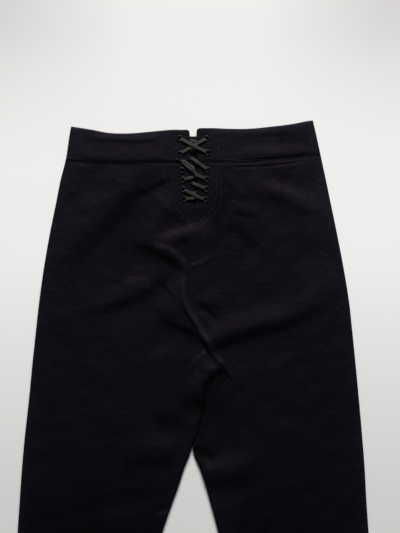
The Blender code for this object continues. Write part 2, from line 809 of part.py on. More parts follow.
def make_gusset(group):
    """The gusset behind the slit, whose sides rise to the back panels that they are sewn to."""
    outer = []
    for down in np.linspace(GUSSET_TOP_DOWN, GUSSET_FOOT_DOWN, GUSSET_ROWS):
        taper = soft_step((down - GUSSET_TAPER_DOWN) / (GUSSET_FOOT_DOWN - GUSSET_TAPER_DOWN))
        half = GUSSET_HALF_WIDTH + (GUSSET_FOOT_HALF_WIDTH - GUSSET_HALF_WIDTH) * taper
        share = np.linspace(-1, 1, GUSSET_COLUMNS)
        across = SLIT_MIDDLE + half * share
        lift = soft_step((np.abs(share) - GUSSET_FLAT_SHARE) / (1 - GUSSET_FLAT_SHARE)) * (1 - taper)
        up = GUSSET_UP + (GUSSET_EDGE_UP - GUSSET_UP) * lift
        outer.append(np.stack([across, 0 * across + down, up], axis=1))
    outer = np.array(outer)
    inner = outer - np.array([0, 0, GUSSET_CLOTH])
    wall("gusset", outer, inner, "gusset_cloth", group)


def make_eyelet_mesh(name, thick):
    """Half the outline of an eyelet, with its rim on the cloth and its barrel through it."""
    barrel_foot = -thick
    outline = [
        (EYELET_RIM - EYELET_SOFT, EYELET_RIM_HEIGHT),
        (EYELET_RIM, EYELET_RIM_HEIGHT - EYELET_SOFT),
        (EYELET_RIM, 0),
        (EYELET_BARREL, 0),
        (EYELET_BARREL, barrel_foot),
        (EYELET_BORE, barrel_foot),
        (EYELET_BORE, EYELET_RIM_HEIGHT - EYELET_SOFT),
        (EYELET_BORE + EYELET_SOFT, EYELET_RIM_HEIGHT),
    ]
    mesh = bpy.data.meshes.new(name)
    points = [(radius * MM, 0, up * MM) for radius, up in outline]
    edges = [(i, (i + 1) % len(points)) for i in range(len(points))]
    mesh.from_pydata(points, edges, [])
    return mesh


def make_eyelets(group):
    """Six eyelets down each side of the slit: two in the waistband and four in the panel."""
    for side, places in EYELETS.items():
        for number, (across, down) in enumerate(places):
            in_band = number < BAND_EYELETS
            thick = BAND_CLOTH if in_band else CLOTH
            cloth_up = PLACKET_UP + (BAND_STEP if in_band else 0)
            name = f"eyelet_{side}_{number + 1}"
            made = add_object(name, make_eyelet_mesh(name, thick), "eyelet_enamel", group)
            made.location = to_scene([across, down, cloth_up + SEAM_GAP])
            turned = made.modifiers.new("Turned", "SCREW")
            turned.steps = EYELET_SIDES
            turned.render_steps = EYELET_SIDES
            turned.use_merge_vertices = True
            turned.merge_threshold = MERGE_WITHIN
            turned.use_smooth_shade = False


def make_hole_cutters(parent):
    """A round cutter for each eyelet's barrel, grouped by side."""
    groups = {}
    for side, places in EYELETS.items():
        groups[side] = new_group(f"eyelet_holes_{side}", parent)
        for number, (across, down) in enumerate(places):
            bpy.ops.mesh.primitive_cylinder_add(
                vertices=EYELET_SIDES,
                radius=(EYELET_BARREL + SEAM_GAP) * MM,
                depth=HOLE_CUTTER_HEIGHT * MM,
                location=to_scene([across, down, PLACKET_UP]),
            )
            made = bpy.context.object
            made.name = f"hole_{side}_{number + 1}"
            as_cutter(made, groups[side])
    return groups


def make_fall_cutter(parent):
    """The room for the fall in the front panels."""
    group = new_group("fall_room", parent)
    top = FALL_FOOT_DOWN - FALL_CUTTER_LENGTH
    bpy.ops.mesh.primitive_cube_add(
        size=1,
        location=to_scene([0, (top + FALL_FOOT_DOWN + SEAM_GAP) / 2, 0]),
        scale=(
            2 * (FALL_HALF_WIDTH + SEAM_GAP) * MM,
            (FALL_CUTTER_LENGTH + SEAM_GAP) * MM,
            FALL_CUTTER_HEIGHT * MM,
        ),
    )
    made = bpy.context.object
    made.name = "fall_room_box"
    as_cutter(made, group)
    return group


def smooth_route(points, steps):
    """A smooth curve through a route's own points, with some steps between each two."""
    points = np.asarray(points, float)
    places = np.arange(len(points))
    at = np.linspace(0, len(points) - 1, (len(points) - 1) * steps + 1)
    return np.stack([curve_through(places, points[:, k], at) for k in range(points.shape[1])], axis=1)


def ribbon_frames(path):
    """For each place on a flat lace: the way across its width, and the way out of its face."""
    runs = np.gradient(path, axis=0)
    runs /= np.linalg.norm(runs, axis=1)[:, None]
    wide = np.stack([-runs[:, 1], runs[:, 0], 0 * runs[:, 0]], axis=1)
    length = np.linalg.norm(wide, axis=1)
    for i in range(1, len(wide)):
        if length[i] < STEEP_RUN:
            wide[i] = wide[i - 1]
        wide[i] /= np.linalg.norm(wide[i])
        if wide[i] @ wide[i - 1] < 0:
            wide[i] = -wide[i]
    for _ in range(FRAME_SMOOTHINGS):
        wide[1:-1] = (wide[:-2] + 2 * wide[1:-1] + wide[2:]) / 4
    wide -= (wide * runs).sum(axis=1)[:, None] * runs
    wide /= np.linalg.norm(wide, axis=1)[:, None]
    return wide, np.cross(runs, wide)


def beside_eyelet(eyelet, towards, way):
    """The lace's points where it turns into an eyelet, from the hole outwards, each with how far
    it is gathered there."""
    side, number = eyelet
    centre = np.array(EYELETS[side][number - 1])
    heading = np.array(towards[:2]) - centre
    heading /= np.linalg.norm(heading)
    level = lace_over(number) if way == "over" else LACE_UNDER
    turns = TURNS_OVER if way == "over" else TURNS_UNDER
    return [(*(centre + heading * turn.away), level + turn.lift, turn.held) for turn in turns]


def lace_over(number):
    """The middle of the lace where it lies on an eyelet's rim."""
    cloth_up = PLACKET_UP + (BAND_STEP if number <= BAND_EYELETS else 0)
    return cloth_up + SEAM_GAP + EYELET_RIM_HEIGHT + SEAM_GAP + LACE_THICK / 2


def lace_points():
    """The whole route, run after run: across, down, up and how far the lace is gathered."""
    points = []
    for run in LACE_RUNS:
        if run.start:
            points += beside_eyelet(run.start, run.via[0], run.leaves)
        points += [(*place, 0.0) for place in run.via]
        if run.end:
            points += beside_eyelet(run.end, run.via[-1], run.arrives)[::-1]
            side, number = run.end
            hole_up = (lace_over(number) + LACE_UNDER) / 2
            points.append((*EYELETS[side][number - 1], hole_up, 1.0))
    return points


def make_lace(group):
    """The lace as one flat braid along its whole route, over and under the cloth."""
    points = smooth_route(lace_points(), LACE_STEPS)
    route = points[:, :3]
    held = np.clip(points[:, 3], 0, 1)
    # Depth runs downwards on the garment and Y upwards, so the frames are found in the scene's axes
    path = to_scene(route) / MM
    wide, out = ribbon_frames(path)
    width = LACE_WIDTH + (LACE_HOLE_WIDTH - LACE_WIDTH) * held
    thick = LACE_THICK + (LACE_HOLE_THICK - LACE_THICK) * held
    flat = LACE_FLAT_SHARE
    outline = [(-0.5, 0), (-flat, 0.5), (flat, 0.5), (0.5, 0), (flat, -0.5), (-flat, -0.5)]
    sections = [
        [centre + wide[i] * width[i] * x + out[i] * thick[i] * y for x, y in outline]
        for i, centre in enumerate(path)
    ]
    sides = len(outline)
    faces = []
    for ring in range(len(path) - 1):
        for side in range(sides):
            after = (side + 1) % sides
            here, there = ring * sides, (ring + 1) * sides
            faces.append([here + side, here + after, there + after, there + side])
    faces.append(list(range(sides))[::-1])
    faces.append([(len(path) - 1) * sides + i for i in range(sides)])
    mesh = bpy.data.meshes.new("lace")
    mesh.from_pydata((np.array(sections).reshape(-1, 3) * MM).tolist(), [], faces)
    add_object("lace", mesh, "lace_braid", group)
    face_outwards(mesh)
    mesh.shade_smooth()
    mesh.set_sharp_from_angle(angle=SHARP_ANGLE)


def main():
    for made in list(bpy.data.objects):
        bpy.data.objects.remove(made, do_unlink=True)
    top = bpy.context.scene.collection
    group = new_group("sailor_trousers", top)
    cutters = new_group("cutters", top)
    holes = make_hole_cutters(cutters)
    fall_room = make_fall_cutter(cutters)
    for side in EYELETS:
        make_backs(side, group, holes[side])
        make_fronts(side, group, fall_room)
    make_fall(group)
    make_gusset(group)
    make_eyelets(group)
    make_lace(group)


main()
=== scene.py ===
import math
from collections import namedtuple

import bpy
import numpy as np
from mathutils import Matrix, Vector


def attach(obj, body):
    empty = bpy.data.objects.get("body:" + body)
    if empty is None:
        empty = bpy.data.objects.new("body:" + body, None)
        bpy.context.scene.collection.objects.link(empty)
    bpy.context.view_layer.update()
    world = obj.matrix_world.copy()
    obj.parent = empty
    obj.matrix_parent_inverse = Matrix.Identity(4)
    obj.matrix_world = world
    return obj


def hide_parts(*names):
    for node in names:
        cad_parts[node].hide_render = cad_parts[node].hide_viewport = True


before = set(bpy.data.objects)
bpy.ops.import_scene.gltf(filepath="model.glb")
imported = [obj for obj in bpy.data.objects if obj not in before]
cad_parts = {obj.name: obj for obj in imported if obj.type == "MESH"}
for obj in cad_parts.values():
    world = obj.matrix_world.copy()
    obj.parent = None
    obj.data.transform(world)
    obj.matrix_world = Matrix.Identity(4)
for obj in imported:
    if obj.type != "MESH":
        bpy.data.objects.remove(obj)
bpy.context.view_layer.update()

# Sailor trousers of dark navy melton, laid flat with the back uppermost. Sizes are in millimetres
# and are turned into metres where a mesh is made. "Across" runs to the right from the middle of
# the back, "down" runs from the waist line to the hems, "up" is the height above the floor.
MM = 0.001

# Walls and gaps
CLOTH = 1.5
BAND_CLOTH = 2.4
GUSSET_CLOTH = 1.2
SEAM_GAP = 0.3
CLOSED_SEAM_GAP = 0.04
LEG_GAP = 0.6
STEEPEST_WALL = 1.5

# Heights above the floor
SEAM_UP = 3.4
EDGE_UP = 6.6
BODY_UP = 6.5
PLACKET_UP = 7.45
LOWEST_BACK_UP = 3.6
LOWEST_INNER_UP = 1.85
BAND_STEP = 0.9
GUSSET_UP = 3.95
GUSSET_EDGE_UP = 5.6
HOLLOW_EASE = 1.2

# Rounding where the cloth turns down at the side seams and inseams
EDGE_ROUND = 3.6
EDGE_LIP = 0.4
EDGE_ANGLES = (0, 0, 12, 25, 38, 52, 66, 79, 90)
EDGE_FLAT_SHARES = (0, 0.03, 0.08, 0.15, 0.25, 0.38, 0.54, 0.75, 1)
WIDEST_ROUND = 1.8
EDGE_TRIES = 4

# Lengths down the garment
HEM_DOWN = 1090.0
CROTCH_DOWN = 371.7
WAIST_TOP_DOWN = -14.6
MIDDLE_DOWN = (HEM_DOWN + WAIST_TOP_DOWN) / 2
TURN_FROM_DOWN = {"left": 364.0, "right": 474.0}
TURN_LENGTH = 22.0
SLIT_END_DOWN = 121.0
SLIT_FOOT_FADE = 4.0
SLIT_MIDDLE = 1.0
LEVEL_ROWS_DOWN = 150.0

# The backs meet a little to the right of where the fronts do, so that no floor shows between
LEG_LAP = 1.8
LEG_LAP_DOWN = 476.0
LEG_LAP_FADE = 22.0

# The gusset behind the slit
GUSSET_TOP_DOWN = 10.5
GUSSET_TAPER_DOWN = 104.0
GUSSET_FOOT_DOWN = 134.0
GUSSET_HALF_WIDTH = 31.0
GUSSET_FOOT_HALF_WIDTH = 13.0
GUSSET_FLAT_SHARE = 0.82
GUSSET_TOP_SOFT = 0.8
GUSSET_RIPPLE = 0.12
GUSSET_RIPPLE_LENGTHS = (3.1, 17.0, 6.3)
GUSSET_MESH = (60, 41)

# The fall, the flap at the front that such trousers open with
FALL_HALF_WIDTH = 128.0
FALL_FOOT_DOWN = 235.0
FALL_MESH = (20, 41)
FALL_ROOM_TOP_DOWN = -80.0
FALL_ROOM_UPS = (-10, 10)
FRONT_TOP_DOWN = 14.0
FRONT_DIP_HALF_WIDTH = 190.0
BAND_DEPTH = 50.0

# Eyelets
EYELET_BORE = 2.7
EYELET_BARREL = 3.2
EYELET_RIM = 4.9
EYELET_RIM_FOOT = 0.25
EYELET_RIM_HEIGHT = 0.8
EYELET_CROWN_POINTS = 9
EYELET_SIDES = 48
EYELET_HOLE_SIDES = 32
EYELET_HOLE_UPS = (0.5, 15)
DENT_DEPTH = 0.3
DENT_REACH = 3.2

# The lace, a flat braid that is gathered where it passes through an eyelet
LACE_THICK = 1.2
LACE_HOLE_WIDTH = 3.0
LACE_HOLE_THICK = 1.0
LACE_HOLE_LEAN = 1.6
LACE_UNDER = 4.95
STEEP_RUN = 0.35
FRAME_SMOOTHINGS = 2
LACE_COARSE_STEPS = 2
LACE_FINE_STEPS = 8
LACE_SECTION_POINTS = 13
LACE_GROOVE = 0.42
LACE_GROOVE_WIDTH = 0.15
LACE_STRAND_PITCH = 1.5
# Where the lace's colour has a painted shadow: along its tail, and across it where the free end
# folds under
LACE_TAIL = 16.0
LACE_CREASE_ALONG = 34.5
LACE_CREASE_LENGTH = 2.2

# Stitches
STITCH_PITCH = 3.1
STITCH_LENGTH = 2.3
STITCH_RADIUS = 0.24
STITCH_PROUD = 0.06
STITCH_REST = 0.6
STITCH_FIRST = 0.2
STITCH_SIDES = 6
ROW_STEP = 2.0
ROW_POINTS = 80
ROW_SIDE_INSET = 6.0
# Where rows start and end: across from the middle, and down for the front's centre seam
ROW_ENDS = {
    "back": (8, 197),
    "back band": (9, 189),
    "front": (FALL_HALF_WIDTH + 5, 198),
    "front band": (3, 189),
    "fall": (4 - FALL_HALF_WIDTH, FALL_HALF_WIDTH - 3),
    "front seam": (FALL_FOOT_DOWN + 5, CROTCH_DOWN - 12),
}
BAND_ROW_INSET = 3.2
FALL_STITCH_INSET = 3.0
FALL_STITCH_GAP = 6.0
FALL_ROW_POINTS = 90

# The seam below the waistband: the panel's edge is a soft welt with a row of stitches under it
WELT_DEPTH = 2.3
WELT_FALL = 0.9
WELT_RISE = 0.38
LEFT_WELT_RISE = 0.12
SEAM_CREASE_DOWN = 3.2
SEAM_CREASE_DEPTH = 0.3
SEAM_CREASE_WIDTH = 0.7
STITCH_ROW_DOWN = 5.2
ROW_GROOVE_DEPTH = 0.12

# Ribs that run out from that seam
PUCKER_PITCH = 7.0
PUCKER_RISE = 0.13
PUCKER_REACH = 9.0
PUCKER_LEAN = 0.25
PUCKER_WANDER = 3.0
PUCKER_EVEN_SHARE = 0.55
PUCKER_EVEN_LENGTH = 17.0
BAND_PUCKERS = 1.3
BAND_PUCKER_INSET = 4.0

# Grooves that stitches draw into the cloth, soft edges, and the hem
GROOVE_DEPTH = 0.45
GROOVE_WIDTH = 1.1
GROOVE_REACH = 5.0
GROOVE_STEP = 6.0
UPRIGHT_GROOVE_DEPTH = 0.35
BAND_TOP_GROOVE_DOWN = 4.2
BAND_TOP_SOFT = 2.2
BAND_FOOT_SOFT = 0.6
BAND_UNEVENNESS = 0.4
EDGE_SOFT = 1.3
CLOSED_EDGE_SOFT = 0.25
HEM_DEPTH = 30.0
HEM_RISE = 0.6
HEM_FALL = 2.0

# Slow unevenness of the cloth, as soft waves of several lengths and directions
WAVE_LENGTHS = (131, 104, 83, 67, 49, 37)
WAVE_RISE = 0.13
WAVE_TURN = 1.9
WAVE_FIRST_TURN = 0.7
WAVE_BEND_LENGTH = 1.7
WAVE_BEND = 1.1
WAVE_SHIFT = 1.3

# Where folds fade out, and how finely their lines are followed
FOLD_STEP = 5.0
FOLD_SIDE_FADE = 26.0
FOLD_SEAM_FADE = 10.0
PLACKET_HALF_WIDTH = 29.0
PLACKET_FADE = 20.0
BAND_FADE = 60.0

# Nap along the edges, as strengths and widths: rubbed nap with a painted sheen at the side seams
# and the band's top edge, and wider painted highlights (the glows) beside the side seams, along the
# inseams and over the waistband
SIDE_WEAR_AND_SHEEN = 0.75
SIDE_WEAR_AND_SHEEN_WIDTH = 2.4
SIDE_GLOW = {"left": 0.4, "right": 0.6}
SIDE_GLOW_WIDTH = 14.0
INNER_GLOW = 0.35
INNER_GLOW_WIDTH = 9.0
BAND_GLOW = 0.2
BAND_TOP_WEAR_AND_HIGHLIGHT = 0.9
BAND_TOP_WEAR_AND_HIGHLIGHT_WIDTH = 4.0
STROKE_END_SHARE = 0.12

# The waistband's top edge
BAND_CORNER = 5.0
BAND_TOP_TURN = 1.0
BAND_RIM_FALL = 0.85
BAND_RIM_WIDTH = 10.0

# Mesh spacing, as stretches of start, end and step; for columns and waistbands in shares
BACK_ROWS = (
    (0, 13, 0.45), (13, 110, 1.3), (110, 400, 1.5), (400, 620, 3.2), (620, 1055, 8.0),
    (1055, 1066, 1.0), (1066, 1090, 4.0),
)
BACK_COLUMNS = ((0, 0.24, 0.0066), (0.24, 1, 0.0155))
BAND_ROWS = ((0, 0.08, 0.012), (0.08, 0.92, 0.028), (0.92, 1, 0.012))
BAND_COLUMNS = ((0, 0.3, 0.0075), (0.3, 1, 0.014))
FRONT_ROWS = ((0, 1060, 9.0), (1060, 1090, 5.0))
FRONT_COLUMNS = ((0, 1, 0.04),)
FRONT_BAND_ROWS = ((0, 1, 1 / 11),)
FRONT_BAND_COLUMNS = ((0, 1, 0.03),)
SHARP_ANGLE = math.radians(50)
LEAST_STEP_ACROSS = 0.1
LEAST_STEP_DOWN = 0.01
MOST_SLOPE_SQUARED = 2

# The camera looks straight down on the upper half, as in the photo
VIEW_ACROSS = 11.0
VIEW_DOWN = 215.0
VIEW_LENGTH = 839.5
VIEW_UP = 1600.0
SENSOR = 36.0

# Light and floor, in metres
WINDOW_PLACE = (0.25, 4.4, 2.4)
WINDOW_TARGET = (0.0, 0.2, 0.0)
WINDOW_SIZE = (2.4, 1.5)
WINDOW_POWER = 440.0
WINDOW_COLOUR = (1.0, 0.99, 0.98)
ROOM_COLOUR = (0.96, 0.97, 1.0, 1)
ROOM_STRENGTH = 0.09
FLOOR_HALF = 6.0
FLOOR_DROP = 0.0002

# Noises of the materials: scale for each metre, detail, roughness and distortion. The nap's scale
# isn't here, because each cloth has its own.
NAP_NOISE = (5.0, 0.62, 0.4)
FIBRE_NOISE = (620.0, 4.0, 0.6, 1.2)
SLOW_NOISE = (42.0, 4.0, 0.6)
PATCH_NOISE = (110.0, 4.0, 0.65)
TUFT_NOISE = (270.0, 3.0, 0.6)
FLECK_NOISE = (1500.0, 1.0, 0.5)
BRAID_WEAR_NOISE = (260.0, 4.0, 0.6)
BRAID_FIBRE_NOISE = (2400.0, 3.0, 0.6)
ENAMEL_WEAR_NOISE = (900.0, 4.0, 0.65)
ENAMEL_NOISE = (1600.0, 3.0, 0.6)
PLY_NOISE = (2600.0, 2.0, 0.5)
PAPER_NOISE = (3.0, 2.0, 0.5)

# Wool surface: how much each noise adds to its height and its shade
HAIR_HEIGHT = 0.6
SLOW_HEIGHT, PATCH_HEIGHT, TUFT_HEIGHT = 7.0, 3.2, 0.8
SLOW_SHADE, PATCH_SHADE, SHADE_DARK = 0.8, 1.4, 0.6
FIBRE_TURN = (0, 0, 0.5)
FIBRE_STRETCH = (1.0, 3.2, 1.0)
TWILL_PITCH = 0.0011
TWILL_SHARE = 0.3
TWILL_WOBBLE = 1.6
FLECK_FROM, FLECK_CONTRAST = 0.74, 14.0
FLECK_COLOUR = (0.05, 0.05, 0.06)

# Melton: how the nap's noise becomes a tone, and how rubbed nap and painted light and shade alter
# it
NAP_SCALE = 900.0
NAP_DARK = 0.42
NAP_CONTRAST = 2.6
NAP_SHARE = 0.6
SHADE_SHARE = 0.4
WEAR_AND_HIGHLIGHT_LIGHTER = 2.4
PAINTED_SHADE_DARKER = 0.3
NAVY = ((0.0018, 0.0016, 0.0028), (0.0060, 0.0051, 0.0087))
GUSSET_NAVY = ((0.0030, 0.0026, 0.0038), (0.008, 0.007, 0.0095))
GUSSET_NAP_SCALE = 1300.0
GUSSET_TWILL = 0.7

# Strength and distance of each material's bumps
WOOL_BUMP = (0.55, 0.0004)
BRAID_BUMP = (0.7, 0.00025)
ENAMEL_BUMP = (0.25, 0.00015)
PLY_BUMP = (0.6, 0.0002)

# The lace is greyer from the waist to the slit's foot; here in metres, as Y in the scene
LACE_GREYING_FROM_Y = 0.518
LACE_GREYING_LENGTH = 0.098
LACE_GREYING = 0.52
STRAND_TONE, BRAID_WEAR_TONE = 0.35, 0.65
# Painted shade in the braid's middle groove: how narrow it is and how dark
BRAID_GROOVE_NARROW, BRAID_GROOVE_SHADE = 4.0, 0.6
# Painted shadow at the lace's tail and where its free end folds under
TAIL_TONE = 0.35
LACE_CREASE_SHADE = 0.9
BRAID_FIBRE_HEIGHT = 0.5

# Enamel that is worn to bare metal
BARE_FROM, BARE_CONTRAST = 0.58, 8.0
BARE_METAL = 0.5
ENAMEL_ROUGHNESS, BARE_ROUGHER = 0.42, 0.12

# Floor paper with painted light: a painted falloff that is dimmer beyond the waist, most of all at
# the sides, and a painted pool of light beside the hips
DULL_FROM_Y, DULL_LENGTH = 0.48, 0.26
ASIDE_FROM_X, ASIDE_LENGTH = 0.1, 0.2
DULL_ALL, DULL_ASIDE = 0.2, 0.8
HIPS_Y, HIPS_REACH = 0.33, 0.36

NODE_WIDE = 220


def rows_of(columns, *rows):
    """A table: the names of its columns, then its rows."""
    row = namedtuple("row", columns)
    return [row(*values) for values in rows]


# Outlines: places across for the left and the right side at places down
SIDE_SEAMS = rows_of(
    "down left right",
    (-15, -189.6, 188.2), (3, -193.0, 192.4), (47, -199.8, 202.0), (79, -208.0, 208.9),
    (110, -214.1, 215.3), (162, -224.6, 226.0), (216, -234.0, 236.4), (268, -241.3, 244.9),
    (320, -247.1, 250.6), (373, -252.7, 255.9), (425, -257.7, 260.8), (477, -263.6, 265.4),
    (531, -268.5, 269.6), (583, -272.1, 272.4), (632, -275.4, 275.8), (715, -280.4, 281.0),
    (800, -285.6, 286.5), (900, -292.0, 293.0), (1000, -298.6, 299.2), (1090, -305.0, 305.0),
)
INSEAMS = rows_of(
    "down left right",
    (371.7, 45.7, 45.7), (389, 30.0, 30.0), (402, 19.0, 19.0), (413, 15.9, 15.9),
    (449, 11.0, 11.0), (473, 6.3, 6.3), (501, -1.6, -0.5), (531, -13.4, 10.5), (556, -21.3, 18.8),
    (583, -31.0, 26.5), (632, -47.5, 39.5), (715, -61.0, 52.0), (800, -63.0, 58.0),
    (900, -58.0, 55.0), (1000, -49.0, 48.0), (1090, -40.0, 40.0),
)
SLIT = rows_of(
    "down left right",
    (-5, -6.4, 5.0), (4, -5.4, 5.5), (20, -4.2, 6.2), (48, -4.0, 6.3), (79, -3.2, 6.1),
    (100, -2.2, 5.6), (112, -0.6, 4.9), (121, 3.2, 3.2),
)
CENTRE_BACK_SEAM = rows_of(
    "down across",
    (121, 3.2), (151, 3.0), (159, -12.0), (168, -28.0), (176, -35.4), (190, -27.0), (209, -15.5),
    (241, -17.3), (268, -14.5), (295, -4.7), (320, 11.0), (346, 31.0), (371.7, 45.7),
)
CENTRE_FRONT_SEAM = rows_of(
    "down across",
    (-20, 0.0), (120, 0.0), (235, 1.0), (310, 16.0), (371.7, 45.7),
)
# The back waistband's top edge and the seam under it
BAND_EDGES = rows_of(
    "across top seam",
    (-201, -6.0, 47.2), (-192, -5.0, 47.8), (-162, -1.3, 50.8), (-131, 4.3, 51.7),
    (-99, 4.9, 51.7), (-68, 2.4, 50.2), (-36, -0.5, 49.9), (-5, -1.0, 49.6), (6, -2.6, 48.9),
    (27, -3.2, 48.8), (58, -2.2, 49.3), (90, -2.4, 47.3), (121, -5.4, 44.6), (153, -9.3, 41.8),
    (184, -14.4, 38.6), (202, -14.6, 38.2),
)

# Folds of the back, each a soft ridge (rise over 0) or trough (under 0) along a bent line that is
# listed from left to right or else downwards. "above" is its width on the waist's side, or on the
# right of a line that runs down, and "below" its width on the other side. "start" and "end" are the
# lengths over which it comes up and dies away. The line is in places across and down.
FOLD_COLUMNS = "name above below rise start end line"
FOLDS = rows_of(
    FOLD_COLUMNS,
    ("seat hook", 15, 18, 2.1, 20, 44, [(-58, 182), (-48, 178), (-34, 172), (-13, 164),
     (14, 154)]),
    ("hook bank", 56, 30, 2.0, 30, 12, [(-136, 178), (-104, 173), (-74, 170), (-56, 172)]),
    ("hook lip", 11, 22, 3.5, 90, 26, [(-98, 180), (-78, 182), (-52, 186), (-35, 193), (-24, 203),
     (-17, 213), (-14, 234)]),
    ("hook back", 22, 40, 2.8, 16, 30, [(-22, 172), (0, 164), (24, 156), (36, 152)]),
    ("seam rib", 9, 7, 2.0, 30, 12, [(-16, 220), (-17, 238), (-16.5, 256), (-12, 277), (-3, 293),
     (7, 309), (14, 324.5), (22.5, 341), (30, 352), (38, 361), (49, 374)]),
    ("seat hook trough", 34, 40, -4.6, 30, 12, [(-118, 194), (-95, 204), (-68, 215), (-44, 222),
     (-14, 229)]),
    ("left seat roll", 30, 22, 2.1, 50, 8, [(-186, 281), (-162, 277), (-131, 269), (-99, 256),
     (-83, 246), (-67, 237), (-52, 226), (-38, 214)]),
    ("left seat hollow", 20, 44, -1.9, 60, 8, [(-156, 292), (-131, 289), (-98, 282), (-76, 271),
     (-60, 259), (-44, 243)]),
    ("left seat swell", 24, 14, 0.5, 28, 20, [(-72, 276), (-44, 284), (-24, 300)]),
    ("centre seam trough", 17, 50, -4.2, 40, 10, [(-64, 297), (-39, 316), (-24, 322), (-6, 329),
     (8, 341), (19, 352)]),
    ("crotch lobe", 22, 26, 0.9, 24, 14, [(-30, 345), (-12, 354), (6, 366), (24, 378)]),
    ("right seat roll", 32, 22, 3.9, 12, 110, [(20, 344), (42, 329), (74, 313), (105, 304),
     (137, 297), (168, 284), (205, 266), (236, 250)]),
    ("right seat trough", 30, 44, -3.6, 6, 120, [(20, 361), (42, 353), (74, 347), (105, 342),
     (137, 331), (176, 317)]),
    ("crotch seam roll", 18, 10, 1.5, 14, 16, [(4, 368), (26, 375), (46, 375), (58, 372)]),
    ("crotch hollow", 32, 3, -3.2, 6, 40, [(50, 377), (36, 390), (25, 403), (21, 414), (17, 450),
     (10, 470)]),
    ("left leg edge", 8, 22, 1.8, 14, 24, [(38, 371), (22, 387), (11, 402), (7, 414), (3, 440)]),
    ("left hip roll", 50, 40, 3.2, 40, 40, [(-204, 200), (-172, 168), (-133, 114), (-100, 82),
     (-84, 66)]),
    ("left hip hollow", 44, 100, -3.4, 100, 20, [(-200, 240), (-152, 204), (-118, 170),
     (-84, 130), (-62, 100)]),
    ("left inner crease", 30, 24, -3.1, 16, 6, [(-26, 444), (-5, 440), (14, 432)]),
    ("left inner hollow", 34, 34, -2.4, 34, 16, [(-78, 470), (-38, 467), (-4, 465)]),
    ("left thigh roll", 34, 24, 2.2, 56, 18, [(-128, 508), (-70, 506), (-26, 502)]),
    ("left thigh hollow", 20, 34, -1.7, 56, 16, [(-130, 537), (-70, 535), (-24, 530)]),
    ("left knee hollow", 30, 30, -1.5, 70, 44, [(-210, 600), (-110, 586), (-30, 570)]),
    ("right inner crease", 15, 16, -3.0, 6, 12, [(-2, 503), (19, 513), (33, 525)]),
    ("right thigh roll", 30, 34, 3.6, 16, 54, [(10, 540), (60, 533), (112, 514)]),
    ("right thigh hollow", 22, 40, -1.5, 24, 54, [(14, 566), (60, 562), (116, 548)]),
    ("right hip roll", 24, 20, 2.3, 70, 40, [(66, 90), (109, 96), (131, 100), (146, 106),
     (162, 114), (178, 120), (204, 130)]),
    ("right hip hollow", 16, 30, -0.8, 20, 36, [(96, 122), (128, 134), (170, 154)]),
    ("left knee roll", 34, 28, 2.0, 44, 44, [(-220, 690), (-170, 700), (-112, 716)]),
    ("right knee roll", 34, 28, 1.9, 44, 44, [(96, 706), (150, 692), (214, 700)]),
    ("left shin roll", 38, 32, 1.7, 54, 54, [(-240, 842), (-176, 858), (-110, 850)]),
    ("right shin roll", 38, 32, 1.7, 54, 54, [(104, 856), (168, 872), (238, 858)]),
)
# Small creases that lie on the folds
CREASES = rows_of(
    FOLD_COLUMNS,
    ("left hip crease", 13, 26, -2.2, 14, 6, [(-86, 113), (-66, 99), (-30, 82)]),
    ("left placket swell", 20, 20, 1.3, 20, 10, [(-70, 136), (-50, 132), (-32, 126)]),
    ("placket foot crease", 12, 16, -1.1, 14, 8, [(-66, 163), (-52, 157), (-36, 152), (-20, 151),
     (-10, 154)]),
    ("right hip crease", 24, 14, -1.2, 18, 20, [(104, 72), (142, 86), (180, 97)]),
    ("right hip swell", 12, 12, 1.1, 14, 20, [(62, 122), (86, 128), (112, 134)]),
    ("right placket crease", 10, 24, -0.8, 10, 12, [(50, 82), (57, 98), (66, 117)]),
    ("right placket ridge", 10, 9, 0.8, 8, 20, [(48, 68), (60, 84), (74, 98), (92, 110)]),
    ("right seat streak", 20, 18, -1.8, 20, 24, [(50, 148), (76, 174), (98, 202)]),
    ("seam catch", 6, 7, 0.9, 8, 10, [(-2, 218), (4, 213), (14, 209), (24, 204), (32, 201)]),
    ("right dimple ridge", 28, 9, 1.4, 14, 20, [(4, 268), (24, 272), (46, 276)]),
    ("right dimple", 9, 14, -1.6, 14, 16, [(6, 272), (21, 287), (40, 303)]),
    ("left inner streak", 7, 9, -0.6, 14, 12, [(-68, 455), (-50, 461), (-34, 465)]),
    ("left knee crease", 8, 10, -1.2, 14, 12, [(-66, 602), (-50, 597), (-32, 590)]),
    ("right gap ridge", 5, 7, 0.8, 6, 8, [(4, 511), (16, 516), (28, 524)]),
)
# Narrow tucks that the seam under the waistband takes up
TUCKS = rows_of(
    FOLD_COLUMNS,
    ("right upper tuck", 2.2, 3, -0.3, 30, 24, [(46, 52), (90, 52.5), (121, 50.5), (153, 48),
     (184, 44)]),
    ("right lower tuck", 3, 4, -0.5, 30, 24, [(50, 58.5), (90, 59), (121, 57), (153, 53),
     (182, 48)]),
    ("left tuck", 2.2, 9, -0.3, 24, 24, [(-180, 54), (-131, 57), (-64, 56.5)]),
)
# Creases along the back waistband
BAND_CREASES = rows_of(
    FOLD_COLUMNS,
    ("left band roll", 10, 5, 0.45, 30, 16, [(-176, 12), (-131, 15.5), (-90, 16.5), (-50, 15)]),
    ("left band crease", 5, 12, -0.3, 30, 16, [(-150, 18), (-110, 21.5), (-60, 20.5)]),
    ("left band swell", 22, 8, 0.9, 16, 12, [(-182, 41), (-131, 45), (-90, 45.4), (-40, 43.3)]),
    ("right band crease", 12, 26, -1.0, 80, 70, [(56, 14), (110, 14), (150, 14), (190, 8)]),
    ("right band swell", 20, 10, 1.1, 50, 16, [(50, 41), (90, 39.5), (130, 38), (186, 31)]),
)
